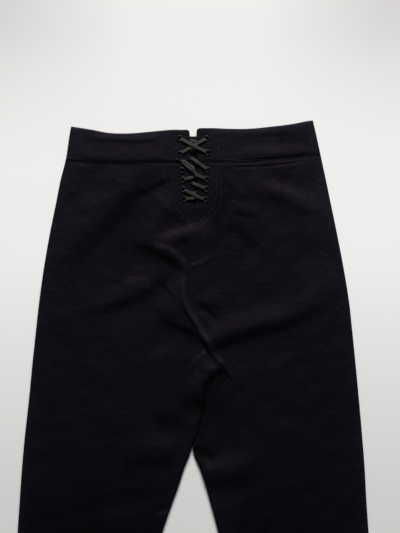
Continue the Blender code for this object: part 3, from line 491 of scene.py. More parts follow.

# Painted light and shade on the nap, along bent lines: painted highlights where the strength is
# over 0, painted shade where it is under 0
PAINTED_LIGHT_AND_SHADE = rows_of(
    "strength above below line",
    (0.4, 3.4, 3.4, [(-60, 182), (-47, 187), (-31, 197), (-19, 209), (-15, 222), (-16, 238)]),
    (1.0, 4.4, 4.0, [(-16, 216), (-17, 238), (-16.5, 256), (-11, 276), (-1, 292), (9, 308),
     (16.5, 323), (25.5, 339.5), (44, 366)]),
    (-0.9, 10, 13, [(-100, 186), (-88, 190), (-68, 197), (-46, 204), (-20, 214)]),
    (0.7, 6, 7, [(-18, 214), (-20, 226), (-21, 244), (-18, 266)]),
    (-0.35, 20, 24, [(-108, 166), (-98, 140), (-88, 118)]),
    (-0.3, 12, 10, [(-84, 166), (-62, 172)]),
    (0.3, 26, 22, [(-214, 190), (-202, 176), (-190, 166)]),
    (0.55, 24, 20, [(166, 240), (196, 234), (226, 222)]),
    (-0.35, 14, 14, [(-112, 541), (-70, 540), (-30, 541)]),
    (0.35, 10, 10, [(14, 540), (40, 537), (66, 532)]),
    (-0.7, 9, 9, [(-60, 290), (-38, 299), (-18, 311), (0, 327), (14, 342)]),
    (0.7, 4.5, 4.0, [(14, 320), (20, 330), (27.5, 340), (35.5, 350), (42.5, 358), (48, 364)]),
    (-1.0, 5, 7, [(38, 379), (45, 375), (55, 371)]),
    (0.5, 5, 4, [(-2, 290), (8, 306), (16, 322), (24, 337)]),
    (0.8, 4, 4, [(50, 50), (72, 51), (94, 50)]),
    (0.9, 6, 6, [(0, 377), (14, 377), (30, 375)]),
    (-0.8, 6, 7, [(-14, 367), (4, 360), (18, 351)]),
    (-0.5, 8, 8, [(-84, 176), (-66, 182), (-50, 186)]),
    (-0.5, 7, 7, [(-24, 172), (-20, 184), (-16, 194)]),
    (-0.8, 12, 10, [(-98, 80), (-76, 82), (-60, 80)]),
    (-0.8, 4, 6, [(-170, 59), (-130, 59), (-92, 60)]),
    (-0.35, 8, 8, [(58, 116), (76, 120), (94, 122)]),
    (0.35, 8, 8, [(88, 66), (110, 72), (132, 76)]),
    (-0.3, 7, 7, [(106, 86), (130, 91), (156, 96)]),
    (-0.95, 9, 10, [(-124, 230), (-76, 235), (-52, 232), (-34, 240)]),
    (0.35, 6, 6, [(-100, 217), (-70, 218), (-40, 215)]),
    (0.4, 4, 5, [(-10, 214), (10, 210), (26, 204)]),
    (-0.4, 5, 5, [(-28, 234), (-26, 250), (-22, 262)]),
    (-0.35, 10, 12, [(-84, 256), (-62, 262)]),
    (-0.6, 6, 6, [(-4, 490), (0, 500)]),
    (-0.8, 9, 9, [(132, 19), (160, 20), (184, 18)]),
    (0.5, 4, 4, [(20, 2), (60, 3), (100, 2), (128, -1)]),
    (0.5, 10, 9, [(-62, 112), (-48, 118), (-38, 122)]),
    (-0.6, 7, 7, [(50, 112), (62, 116)]),
    (0.5, 9, 9, [(158, 58), (180, 55)]),
    (-0.4, 40, 60, [(-272, 612), (-200, 614), (-130, 612)]),
    (0.3, 8, 6, [(80, 42), (130, 40), (180, 34)]),
    (-0.2, 5, 5, [(-150, 30), (-100, 30), (-50, 30)]),
    (0.25, 6, 6, [(-140, 14), (-100, 16), (-60, 14)]),
    (-0.5, 8, 8, [(44, 379), (76, 376), (124, 374)]),
    (-0.4, 14, 14, [(-48, 352), (-24, 362), (-4, 370)]),
    (-0.4, 9, 9, [(-64, 262), (-50, 246), (-38, 236)]),
    (-0.35, 10, 12, [(28, 100), (46, 106), (62, 112)]),
    (0.4, 14, 16, [(176, 118), (196, 124), (212, 132)]),
    (-1.0, 27, 12, [(54, 384), (44, 396), (34, 408), (26, 424), (18, 440), (14, 470)]),
    (-0.6, 18, 20, [(4, 96), (22, 108), (40, 122), (56, 130)]),
    (-0.6, 34, 38, [(26, 140), (70, 160), (104, 186)]),
    (0.4, 18, 24, [(140, 90), (176, 104), (206, 118)]),
    (-0.4, 24, 22, [(-206, 222), (-170, 222), (-130, 222), (-104, 214)]),
    (-0.5, 26, 30, [(-140, 166), (-112, 136), (-84, 104)]),
    (-0.8, 11, 13, [(-16, 440), (-2, 438), (14, 430)]),
    (-0.5, 16, 16, [(-62, 466), (-34, 466), (-8, 474)]),
    (-1.0, 9, 8, [(2, 504), (18, 512), (34, 523)]),
    (0.3, 30, 18, [(196, 44), (208, 100), (222, 170)]),
    (-0.45, 90, 110, [(-150, 700), (-90, 640), (-40, 625)]),
    (-0.45, 110, 90, [(190, 700), (130, 640), (60, 625)]),
)

# The double row of stitches that holds the placket's facing, from the band round the slit's foot,
# and the upright rows through the band beside the slit
SHIELD_OUTER = (
    (-47.5, 53), (-45, 70), (-38, 84), (-35.5, 102), (-34.5, 118), (-28, 131), (-13.5, 140),
    (-1, 150.6), (5, 153.2), (14.6, 147.4), (24.5, 138.6), (35.5, 128), (41.5, 112), (43, 80),
    (44, 52),
)
SHIELD_INNER = (
    (-41, 53), (-38.5, 68), (-31.5, 85), (-29.5, 102), (-28, 115), (-21, 127), (-8, 137.5),
    (1.2, 147.6), (9.5, 145), (20, 134.6), (30.5, 123.6), (35.5, 108), (37, 80), (38, 52),
)
UPRIGHT_ROWS = (-47.5, -41.0, 41.0, 47.5)

# The ribs' line wanders as a sum of waves, and a stitch is a rod through stations along it
PUCKER_WANDERS = rows_of("share length shift", (0.9, 23.0, 0.0), (0.6, 11.3, 2.0))
STITCH_STATIONS = rows_of(
    "along wide lift",
    (0.0, 0.35, -0.25), (0.16, 0.92, 0.0), (0.5, 1.0, 0.12), (0.84, 0.92, 0.0), (1.0, 0.35, -0.25),
)

# Eyelets, each across and down; the first two of each side are in the waistband
EYELETS = {
    "left": [
        (-20.8, 14.3), (-19.8, 38.3), (-17.2, 64.3), (-15.9, 79.2), (-15.1, 94.5), (-13.4, 109.6),
    ],
    "right": [
        (21.1, 14.5), (22.8, 36.5), (23.2, 63.5), (21.7, 78.0), (20.9, 93.7), (19.2, 109.9),
    ],
}
BAND_EYELETS = 2

# The lace's route from its free end to its tucked end, as runs from one eyelet to the next. Each
# names its eyelets by side and number, whether it leaves and arrives over or under the cloth, and
# the places that it passes on the way: across, down, up.
LACE_RUNS = rows_of(
    "start leaves arrives end via",
    (None, None, "over", ("right", 4), [(-26.5, 46.6, 9.4), (-20, 48.8, 9.4), (-14, 51.8, 9.6),
     (-7, 57.6, 9.9), (0, 62.8, 10.1), (3.2, 68, 10), (7.6, 72.2, 9.8), (13.8, 75.2, 9.6)]),
    (("right", 4), "under", "under", ("left", 5), [(14.4, 88.6, 4.95), (8.2, 96.6, 4.95),
     (1.2, 100.2, 4.95), (-6.4, 98.2, 4.95)]),
    (("left", 5), "over", "over", ("right", 6), [(-6, 98.8, 9.55), (2, 102.6, 9.6),
     (10, 107, 9.55)]),
    (("right", 6), "under", "under", ("left", 6), [(15.4, 117.4, 4.95), (8.6, 123, 4.95),
     (0, 124.2, 4.95), (-8, 119.4, 4.95)]),
    (("left", 6), "over", "under", ("right", 5), [(-5.4, 108.7, 9.5), (-1.4, 108.2, 9.2),
     (1.6, 107.5, 7.4), (3.6, 106.6, 5.2), (6.2, 105.2, 4.9), (12, 101, 4.95)]),
    (("right", 5), "over", "under", ("left", 4), [(11, 89.3, 9.55), (7, 87.6, 9.4),
     (3.4, 85.9, 7.6), (0.8, 84.8, 5.5), (-2.4, 83.6, 4.9), (-8.4, 81.6, 4.95)]),
    (("left", 4), "over", "under", ("right", 3), [(-7.6, 76.9, 9.55), (-4.4, 76, 9.45),
     (-1, 75, 7.8), (1.6, 74.2, 5.6), (5.2, 72.9, 4.9), (9, 71, 4.95), (14.6, 68, 4.95)]),
    (("right", 3), "over", "under", ("left", 2), [(14.6, 57.4, 9.7), (9.8, 53.8, 10.3),
     (6.8, 51.5, 10.4), (3.8, 49.2, 9), (1, 47, 6.6), (-1.6, 45.3, 5.2), (-4.4, 43.9, 4.9),
     (-11.6, 40.9, 4.95)]),
    (("left", 2), "over", "over", ("right", 1), [(-8.4, 31.6, 10.45), (0.6, 26.4, 10.45),
     (9.6, 21.2, 10.45)]),
    (("right", 1), "under", "under", ("left", 1), [(10.4, 17.2, 4.95), (5.4, 18, 4.95),
     (1, 18.3, 5.6), (-3.4, 17.9, 4.95), (-10, 16.6, 4.95)]),
    (("left", 1), "over", "over", ("right", 2), [(-11, 19.6, 10.9), (-4.6, 23, 11.8),
     (1, 26, 12.2), (6.6, 29, 11.8), (13, 32, 10.9)]),
    (("right", 2), "under", None, None, [(19.5, 42.4, 4.95), (15.5, 48, 4.95),
     (11.5, 53.5, 4.95)]),
)

# The lace's width near its free end, which is drawn thin and then lies spread flat
LACE_SPREADS = rows_of(
    "along width",
    (0, 2.0), (9, 2.4), (12.5, 6.2), (20, 7.6), (31, 7.8), (34.5, 5.0), (40, 4.8),
)

# The lace where it turns into an eyelet, from the hole outwards: how far from the hole's middle,
# how far above or below the lace's usual height there, and how far it is gathered
LACE_TURNS = {
    "over": rows_of("away lift held", (2.0, -0.7, 1.0), (3.5, 0, 0.1)),
    "under": rows_of("away lift held", (0.7, 0.35, 1.0), (2.4, 0, 0.3)),
}


def soft_step(share):
    """0 to 1 with soft ends, for shares from 0 to 1."""
    share = np.clip(share, 0, 1)
    return share * share * (3 - 2 * share)


def fade(place, start, length):
    """1 up to a start, then softly down to 0 over a length."""
    return 1 - soft_step((place - start) / length)


def between(start, end, share):
    return start + (end - start) * share


def bell(distance, width):
    return np.exp(-((distance / width) ** 2))


def curve_through(places, values, at):
    """Values at some places on a smooth curve through known ones."""
    places = np.asarray(places, float)
    values = np.asarray(values, float)
    slopes = np.gradient(values, places)
    at = np.clip(at, places[0], places[-1])
    i = np.clip(np.searchsorted(places, at, side="right") - 1, 0, len(places) - 2)
    step = places[i + 1] - places[i]
    t = (at - places[i]) / step
    start = values[i] * (1 + 2 * t) * (1 - t) ** 2
    end = values[i + 1] * t * t * (3 - 2 * t)
    leaving = slopes[i] * step * t * (1 - t) ** 2
    arriving = slopes[i + 1] * step * t * t * (t - 1)
    return start + end + leaving + arriving


def read(table, name, at):
    """A named column of a table whose first column is the place."""
    return curve_through([row[0] for row in table], [getattr(row, name) for row in table], at)


def sign_of(side):
    return -1 if side == "left" else 1


# Edges of the pieces
def turned_down(side, down):
    """0 where a back's middle edge lies flat, 1 where it turns down at the inseam."""
    return soft_step((down - TURN_FROM_DOWN[side]) / TURN_LENGTH)


def slope_of(edge, down):
    """How far an edge moves across for each millimetre down."""
    return (edge(down + 1) - edge(down - 1)) / 2


def seam_across(table, side, down):
    """A centre seam's edge on one side, with a gap that stays as wide where the seam is aslant."""
    slope = slope_of(lambda at: read(table, "across", at), down)
    return read(table, "across", down) + sign_of(side) * CLOSED_SEAM_GAP / 2 * np.hypot(1, slope)


def inseam_across(side, down):
    """A leg's inner edge; the right leg never runs into the left one."""
    left = read(INSEAMS, "left", down)
    if side == "left":
        return left - LEG_GAP / 2
    return np.maximum(read(INSEAMS, "right", down), left) + LEG_GAP / 2


def back_middle(side, down):
    """Where a back piece ends towards the middle: slit, centre seam, then inseam."""
    slit = read(SLIT, side, down) + sign_of(side) * SEAM_GAP / 2
    upper = np.where(down < SLIT_END_DOWN, slit, seam_across(CENTRE_BACK_SEAM, side, down))
    lower = inseam_across(side, down) + LEG_LAP * fade(down, LEG_LAP_DOWN, LEG_LAP_FADE)
    return np.where(down < CROTCH_DOWN, upper, lower)


def front_middle(side, down):
    seam = seam_across(CENTRE_FRONT_SEAM, side, down)
    return np.where(down < CROTCH_DOWN, seam, inseam_across(side, down))


def outer_edge(side, down):
    return read(SIDE_SEAMS, side, down)


def back_seam(across):
    """How far down the waistband's lower edge is on the back."""
    return read(BAND_EDGES, "seam", across)


def back_band_top(across):
    """The back waistband's top edge, turned in a little, with a rounded corner beside the slit."""
    ends = np.where(np.asarray(across) < SLIT_MIDDLE, SLIT[1].left, SLIT[1].right)
    from_end = np.clip(np.abs(across - ends) / BAND_CORNER, 0, 1)
    corner = BAND_CORNER * (1 - np.sqrt(1 - (1 - from_end) ** 2))
    return read(BAND_EDGES, "top", across) + BAND_TOP_TURN + corner


def towards_middle(across):
    return 1 - soft_step(np.abs(across) / FRONT_DIP_HALF_WIDTH)


def front_top(across):
    """The front waist dips below the back one and meets it at the side seams."""
    return between(read(BAND_EDGES, "top", across), FRONT_TOP_DOWN, towards_middle(across))


def front_seam(across):
    return between(back_seam(across), FRONT_TOP_DOWN + BAND_DEPTH, towards_middle(across))


# Bent lines in plan
def step_lengths(line):
    return np.hypot(*np.diff(line, axis=0).T)


def places_along(line):
    return np.concatenate([[0], np.cumsum(step_lengths(line))])


def smooth_line(spots, step):
    """Evenly spaced points, about a step apart, along a smooth line through some spots."""
    spots = np.array(spots, float)
    places = places_along(spots)
    at = np.linspace(0, places[-1], max(int(places[-1] / step), 2) + 1)
    return np.stack([curve_through(places, spots[:, k], at) for k in (0, 1)], axis=1)


def in_plan(across, down):
    """Places as a list of points, for the functions that follow a line."""
    return np.stack(np.broadcast_arrays(across, down), axis=-1).reshape(-1, 2).astype(float)


def nearest_on_line(points, line):
    """For points in plan: their distance from a bent line, over 0 on the side of the hem for a line
    that runs to the right, and how far along it they are, as a share."""
    best = np.full(len(points), np.inf)
    signed = np.zeros(len(points))
    along = np.zeros(len(points))
    pieces = len(line) - 1
    for number in range(pieces):
        start = line[number]
        run = line[number + 1] - start
        share = np.clip((points - start) @ run / (run @ run), 0, 1)
        away = points - start - share[:, None] * run
        far = np.hypot(away[:, 0], away[:, 1])
        side = np.sign(away @ np.array([-run[1], run[0]]) + 1e-9)
        nearer = far < best
        best = np.where(nearer, far, best)
        signed = np.where(nearer, far * side, signed)
        along = np.where(nearer, (number + share) / pieces, along)
    return signed, along


def near_line(points, line, reach):
    """Which points are within reach of a line, then their distances from it and places along it."""
    low, high = line.min(axis=0) - reach, line.max(axis=0) + reach
    near = np.flatnonzero(((points > low) & (points < high)).all(axis=1))
    return near, *nearest_on_line(points[near], line)


# Heights of the cloth
def fold_rise(folds, across, down):
    """The height that folds add at places on the cloth."""
    points = in_plan(across, down)
    total = np.zeros(len(points))
    for fold in folds:
        line = smooth_line(fold.line, FOLD_STEP)
        length = step_lengths(line).sum()
        near, offset, along = near_line(points, line, max(fold.above, fold.below))
        width = np.where(offset < 0, fold.above, fold.below)
        shape = 0.5 + 0.5 * np.cos(np.pi * np.clip(np.abs(offset) / width, 0, 1))
        ends = soft_step(along * length / fold.start) * soft_step((1 - along) * length / fold.end)
        total[near] += fold.rise * shape * ends
    return total.reshape(np.broadcast(across, down).shape)


def unevenness(across, down):
    """Slow waves all over the cloth, each bent a little by another that crosses it."""
    total = 0 * across
    for number, length in enumerate(WAVE_LENGTHS):
        turn = WAVE_FIRST_TURN + WAVE_TURN * number
        along = (across * math.cos(turn) + down * math.sin(turn)) / length
        beside = (across * math.sin(turn) - down * math.cos(turn)) / (WAVE_BEND_LENGTH * length)
        bend = WAVE_BEND * np.sin(2 * math.pi * beside)
        total = total + np.sin(2 * math.pi * along + WAVE_SHIFT * number + bend)
    return WAVE_RISE * total


def puckers(across, down, away):
    """Small ribs that run out from a line of stitches, at a distance from it."""
    wander = sum(w.share * np.sin(across / w.length + w.shift) for w in PUCKER_WANDERS)
    turns = (across + PUCKER_LEAN * away) / PUCKER_PITCH
    ribs = np.sin(2 * math.pi * turns + PUCKER_WANDER * wander)
    uneven = between(np.sin(across / PUCKER_EVEN_LENGTH + 1), 1, PUCKER_EVEN_SHARE)
    return PUCKER_RISE * uneven * ribs * bell(away, PUCKER_REACH)


def groove(distance, depth=GROOVE_DEPTH, width=GROOVE_WIDTH):
    return -depth * bell(distance, width)


def line_groove(across, down, spots):
    """The groove that a row of stitches draws along a bent line."""
    points = in_plan(across, down)
    total = np.zeros(len(points))
    near, offset, _ = near_line(points, smooth_line(spots, GROOVE_STEP), GROOVE_REACH)
    total[near] = groove(offset)
    return total.reshape(np.broadcast(across, down).shape)


def soft_edge(distance, round_by):
    """How far a rounded edge falls, at a distance in from the edge."""
    share = np.clip(1 - distance / round_by, 0, 1)
    return -round_by * (1 - np.sqrt(1 - share**2))


def eyelet_dents(side, across, down, which):
    """The cloth is pulled down a little round each eyelet's rim."""
    total = 0 * across
    for place in EYELETS[side][which]:
        far = np.hypot(across - place[0], down - place[1])
        total = total - DENT_DEPTH * bell(far - EYELET_RIM, DENT_REACH)
    return total


def back_up(across, down, from_side, below_seam):
    """The height of the back's upper face with its folds. from_side is the distance from the side
    seam, below_seam that from the waistband."""
    near_slit = fade(np.abs(across - SLIT_MIDDLE), PLACKET_HALF_WIDTH, PLACKET_FADE)
    near_slit = near_slit * fade(down, SLIT_END_DOWN, PLACKET_FADE)
    level = between(BODY_UP, PLACKET_UP, np.maximum(near_slit, fade(below_seam, 0, BAND_FADE)))
    inward = soft_step(from_side / FOLD_SIDE_FADE)
    level = between(EDGE_UP, level, inward)
    free = inward * (1 - near_slit) * soft_step(below_seam / FOLD_SEAM_FADE)
    folds = fold_rise(FOLDS, across, down) + fold_rise(CREASES, across, down)
    up = level + free * (folds + unevenness(across, down))
    under = np.minimum(up - LOWEST_BACK_UP - HOLLOW_EASE, 0)
    return np.where(under < 0, LOWEST_BACK_UP + HOLLOW_EASE * np.exp(under / HOLLOW_EASE), up)


def body_seat(across, down, from_side, side):
    """The back panel's upper face: its folds, seams, stitch grooves and hem."""
    below = np.maximum(down - back_seam(across), 0)
    up = back_up(across, down, from_side, below)
    welt_rise = WELT_RISE + (across < 0) * (LEFT_WELT_RISE - WELT_RISE)
    welt = welt_rise * fade(below, WELT_DEPTH, WELT_FALL)
    welt = welt + groove(below - SEAM_CREASE_DOWN, SEAM_CREASE_DEPTH, SEAM_CREASE_WIDTH)
    up = up + welt + soft_edge(below - SEAM_GAP / 2, CLOSED_EDGE_SOFT)
    up = up + groove(below - STITCH_ROW_DOWN, ROW_GROOVE_DEPTH) + puckers(across, down, below)
    up = up + soft_step(from_side / FOLD_SIDE_FADE) * fold_rise(TUCKS, across, down)
    in_slit = fade(down, SLIT_END_DOWN - SLIT_FOOT_FADE, SLIT_FOOT_FADE)
    middle_edge = soft_edge(
        np.abs(across - back_middle(side, down)), between(CLOSED_EDGE_SOFT, EDGE_SOFT, in_slit)
    )
    up = up + (1 - turned_down(side, down)) * middle_edge
    above_hem = HEM_DOWN - down
    up = up + HEM_RISE * fade(above_hem, HEM_DEPTH, HEM_FALL) + groove(above_hem - HEM_DEPTH)
    for spots in (SHIELD_OUTER, SHIELD_INNER):
        up = up + line_groove(across, down, spots)
    return up + eyelet_dents(side, across, down, slice(BAND_EYELETS, None))


def band_seat(across, down, from_side, side):
    """The back waistband's upper face."""
    inward = soft_step(from_side / FOLD_SIDE_FADE)
    up = between(EDGE_UP, PLACKET_UP, inward) + BAND_STEP
    from_slit = np.abs(across - SLIT_MIDDLE)
    free = inward * soft_step((from_slit - PLACKET_HALF_WIDTH) / PLACKET_FADE)
    creases = fold_rise(BAND_CREASES, across, down)
    up = up + free * (creases + BAND_UNEVENNESS * unevenness(across, down))
    below_top = down - back_band_top(across)
    above_seam = back_seam(across) - down
    up = up + soft_edge(below_top, BAND_TOP_SOFT)
    up = up + soft_edge(above_seam - SEAM_GAP / 2, BAND_FOOT_SOFT)
    up = up - free * BAND_RIM_FALL * np.clip(1 - below_top / BAND_RIM_WIDTH, 0, 1) ** 2
    up = up + groove(below_top - BAND_TOP_GROOVE_DOWN, ROW_GROOVE_DEPTH)
    up = up + BAND_PUCKERS * puckers(across, down, above_seam - BAND_PUCKER_INSET)
    up = up + soft_edge(np.abs(across - back_middle(side, down)), EDGE_SOFT)
    for at in UPRIGHT_ROWS:
        up = up + groove(across - at, UPRIGHT_GROOVE_DEPTH)
    return up + eyelet_dents(side, across, down, slice(0, BAND_EYELETS))


# Grids of points for the cloth walls
def spaced(stretches):
    """Values from stretches of (start, end, step), each about a step apart."""
    parts = []
    for start, end, step in stretches:
        parts.append(np.linspace(start, end, max(int(round((end - start) / step)), 1) + 1)[:-1])
    return np.concatenate([*parts, [stretches[-1][1]]])


def below_seam(seam):
    """The rows of a panel, which follow the seam at the top and run level further down."""

    def down_at(across, row):
        return row + (seam(across) + SEAM_GAP / 2) * fade(row, 0, LEVEL_ROWS_DOWN)

    return down_at


def within_band(top, seam):
    """The rows of a waistband, as shares of the way from its top edge to its seam."""

    def down_at(across, row):
        return between(top(across), seam(across) - SEAM_GAP / 2, row)

    return down_at


def edge_place(edge, side, rows, down_at):
    """Where rows meet an edge: a row's depth depends on how far across it is."""
    across = 0 * rows
    for _ in range(EDGE_TRIES):
        across = edge(side, down_at(across, rows))
    return across, down_at(across, rows)


def panel(side, rows, shares, down_at, inner_at, seat, thick):
    """The outer and inner points of a piece on one side, from its middle edge to the side seam.

    down_at gives a row's depth at a place across, inner_at the piece's middle edge, and seat the
    height of a back piece's upper face, or None for a front piece, which lies on the floor.
    """
    sign = sign_of(side)
    angles = np.radians(EDGE_ANGLES)
    count = len(angles)
    near, near_down = (v[:, None] for v in edge_place(inner_at, side, rows, down_at))
    far = edge_place(outer_edge, side, rows, down_at)[0][:, None]
    width = np.abs(far - near)
    turn = turned_down(side, near_down)
    slope = slope_of(lambda down: inner_at(side, down), near_down)
    reach = EDGE_ROUND * np.minimum(np.hypot(1, slope), WIDEST_ROUND)
    near_inset = reach * (turn * (1 - np.cos(angles)) + (1 - turn) * np.array(EDGE_FLAT_SHARES))
    far_inset = width - EDGE_ROUND * (1 - np.cos(angles[::-1]))
    middle_inset = reach + (width - reach - EDGE_ROUND) * shares
    inset = np.concatenate([near_inset, middle_inset, far_inset], axis=1)
    facing = np.full(inset.shape, math.pi / 2)
    facing[:, :count] += turn * (angles - math.pi / 2)
    facing[:, -count:] = angles[::-1]
    outwards = np.zeros(inset.shape)
    outwards[:, :count] = -sign
    outwards[:, -count:] = sign
    lips = np.zeros(inset.shape)
    lips[:, :1] = turn
    lips[:, -1] = 1
    share_up = np.ones(inset.shape)
    share_up[:, :count] = turn * np.sin(angles) + 1 - turn
    share_up[:, -count:] = np.sin(angles[::-1])
    across = near + sign * inset
    down = down_at(across, rows[:, None])
    if seat is None:
        up = (SEAM_UP - SEAM_GAP - EDGE_LIP) * (1 - share_up) + EDGE_LIP * lips
        inner_up = up + thick * np.sin(facing)
    else:
        top = seat(across, down, np.maximum(width - inset, 0), side)
        up = between(SEAM_UP + EDGE_LIP, top, share_up) - EDGE_LIP * lips
        steep = np.minimum(steepness(across, down, top), STEEPEST_WALL)
        inner_up = np.maximum(up - thick * steep * np.sin(facing), LOWEST_INNER_UP)
    inner_across = across - outwards * thick * np.cos(facing)
    return np.stack([across, down, up], axis=2), np.stack([inner_across, down, inner_up], axis=2)


def steepness(across, down, up):
    """How much deeper a wall is where it runs aslant, so that it stays as thick."""
    step_down = np.maximum(np.abs(np.gradient(down, axis=0)), LEAST_STEP_DOWN)
    step_across = np.maximum(np.abs(np.gradient(across, axis=1)), LEAST_STEP_ACROSS)
    slope_down = np.gradient(up, axis=0) / step_down
    slope_across = np.gradient(up, axis=1) / step_across
    return np.sqrt(1 + np.minimum(slope_across**2 + slope_down**2, MOST_SLOPE_SQUARED))


def wear_and_painted_light(side, across, down):
    """How much lighter (over 0) or darker (under 0) the nap is made, from -1 to 1: rubbed nap with
    a painted sheen along the side seam and the waistband's top edge, painted highlights beside the
    side seam, along the inseams and over the waistband, and the painted light and shade of the
    strokes."""
    from_side = np.maximum(np.abs(outer_edge(side, down) - across), 0)
    total = SIDE_WEAR_AND_SHEEN * np.exp(-from_side / SIDE_WEAR_AND_SHEEN_WIDTH)
    total += SIDE_GLOW[side] * np.exp(-from_side / SIDE_GLOW_WIDTH)
    from_inseam = np.abs(across - back_middle(side, down))
    total += turned_down("right", down) * INNER_GLOW * np.exp(-from_inseam / INNER_GLOW_WIDTH)
    from_top = np.maximum(down - back_band_top(across), 0)
    total += BAND_TOP_WEAR_AND_HIGHLIGHT * np.exp(-from_top / BAND_TOP_WEAR_AND_HIGHLIGHT_WIDTH)
    total += BAND_GLOW * (down < back_seam(across))
    points, total = in_plan(across, down), total.reshape(-1)
    for stroke in PAINTED_LIGHT_AND_SHADE:
        line = smooth_line(stroke.line, FOLD_STEP)
        near, offset, along = near_line(points, line, 2 * max(stroke.above, stroke.below))
        ends = soft_step(along / STROKE_END_SHARE) * soft_step((1 - along) / STROKE_END_SHARE)
        width = np.where(offset < 0, stroke.above, stroke.below)
        total[near] += stroke.strength * ends * bell(offset, width)
    return np.clip(total, -1, 1).reshape(across.shape)


# Objects and meshes
def to_scene(points):
    """Across, down and up in millimetres as X, Y and Z in metres."""
    across, down, up = np.moveaxis(np.asarray(points, float), -1, 0)
    return np.stack([across * MM, (MIDDLE_DOWN - down) * MM, up * MM], axis=-1)


def link_object(name, data):
    """A named object in the scene for a mesh, a light or a camera."""
    made = bpy.data.objects.new(name, data)
    bpy.context.scene.collection.objects.link(made)
    return made


def mesh_object(name, points, faces, material=None):
    """A named object from points in metres and faces."""
    mesh = bpy.data.meshes.new(name)
    mesh.from_pydata(np.asarray(points).tolist(), [], faces)
    if material:
        mesh.materials.append(material)
    return link_object(name, mesh)


def smooth(piece):
    piece.data.shade_smooth()
    piece.data.set_sharp_from_angle(angle=SHARP_ANGLE)
    return piece


def joined(name, parts, material=None):
    """One object from several (points, faces) pairs in metres."""
    points = []
    faces = []
    count = 0
    for more_points, more_faces in parts:
        points.append(more_points)
        faces += [[corner + count for corner in face] for face in more_faces]
        count += len(more_points)
    return mesh_object(name, np.concatenate(points), faces, material)


def tube_faces(rings, sides, looped=False):
    """Faces of a tube of point rings, listed ring by ring: closed at both ends, or looped."""
    number = np.arange(rings * sides).reshape(rings, sides)
    ends = [] if looped else [number[0, ::-1].tolist(), number[-1].tolist()]
    if looped:
        number = np.concatenate([number, number[:1]])
    after = np.roll(number, -1, axis=1)
    faces = np.stack([number[:-1], after[:-1], after[1:], number[1:]], axis=2)
    return faces.reshape(-1, 4).tolist() + ends


def set_values(piece, name, values):
    """Gives each point of a mesh a value that its material reads."""
    attribute = piece.data.attributes.new(name, "FLOAT", "POINT")
    attribute.data.foreach_set("value", np.asarray(values, np.float32))


def wall(name, outer, inner, material, worn=None):
    """A closed cloth wall between its outer and inner sheets."""
    rows, columns = outer.shape[:2]
    back = rows * columns
    number = np.arange(back).reshape(rows, columns)
    quads = np.stack([number[:-1, :-1], number[:-1, 1:], number[1:, 1:], number[1:, :-1]], axis=2)
    quads = quads.reshape(-1, 4)
    border = np.concatenate([number[0], number[1:, -1], number[-1, -2::-1], number[-2:0:-1, 0]])
    after = np.roll(border, -1)
    rim = np.stack([after, border, border + back, after + back], axis=1)
    faces = np.concatenate([quads, quads[:, ::-1] + back, rim])
    points = to_scene(np.concatenate([outer.reshape(-1, 3), inner.reshape(-1, 3)]))
    corners = points[faces]
    volume = 0
    for k in (1, 2):
        halves = np.cross(corners[:, k], corners[:, k + 1])
        volume += np.einsum("ij,ij->i", corners[:, 0], halves).sum()
    if volume < 0:
        faces = faces[:, ::-1]
    piece = smooth(mesh_object(name, points, faces.tolist(), material))
    # The points carry the cloth's wear and its painted light and shade, for its material to read
    if worn is not None:
        set_values(piece, "worn", np.tile(worn.reshape(-1), 2))
    return piece


def dress(piece, node):
    """Puts a piece in its solid's place."""
    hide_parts(node)
    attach(piece, "root")


def boolean_cut(piece, cutter):
    """Cuts another mesh out of a piece and removes the cutter."""
    modifier = piece.modifiers.new("Cut", "BOOLEAN")
    modifier.operation = "DIFFERENCE"
    modifier.object = cutter
    modifier.solver = "EXACT"
    graph = bpy.context.evaluated_depsgraph_get()
    mesh = bpy.data.meshes.new_from_object(piece.evaluated_get(graph))
    piece.modifiers.clear()
    piece.data = mesh
    bpy.data.objects.remove(cutter, do_unlink=True)


# Looks
class Value:
    """A node's output. Sums and products with it are further Math nodes."""

    def __init__(self, shader, socket):
        self.shader = shader
        self.socket = socket

    def __add__(self, other):
        return self.shader.math("ADD", self, other)

    def __sub__(self, other):
        return self.shader.math("SUBTRACT", self, other)

    def __rsub__(self, other):
        return self.shader.math("SUBTRACT", other, self)

    def __mul__(self, other):
        return self.shader.math("MULTIPLY", self, other)

    def __truediv__(self, other):
        return self.shader.math("DIVIDE", self, other)

    def __abs__(self):
        return self.shader.math("ABSOLUTE", self)

    def wave(self):
        """A soft wave between 0 and 1, once for each full turn of 2 pi."""
        return (self.shader.math("SINE", self) + 1.0) * 0.5

    def clamped(self):
        """The same value, kept between 0 and 1 by its own Math node."""
        self.socket.node.use_clamp = True
        return self


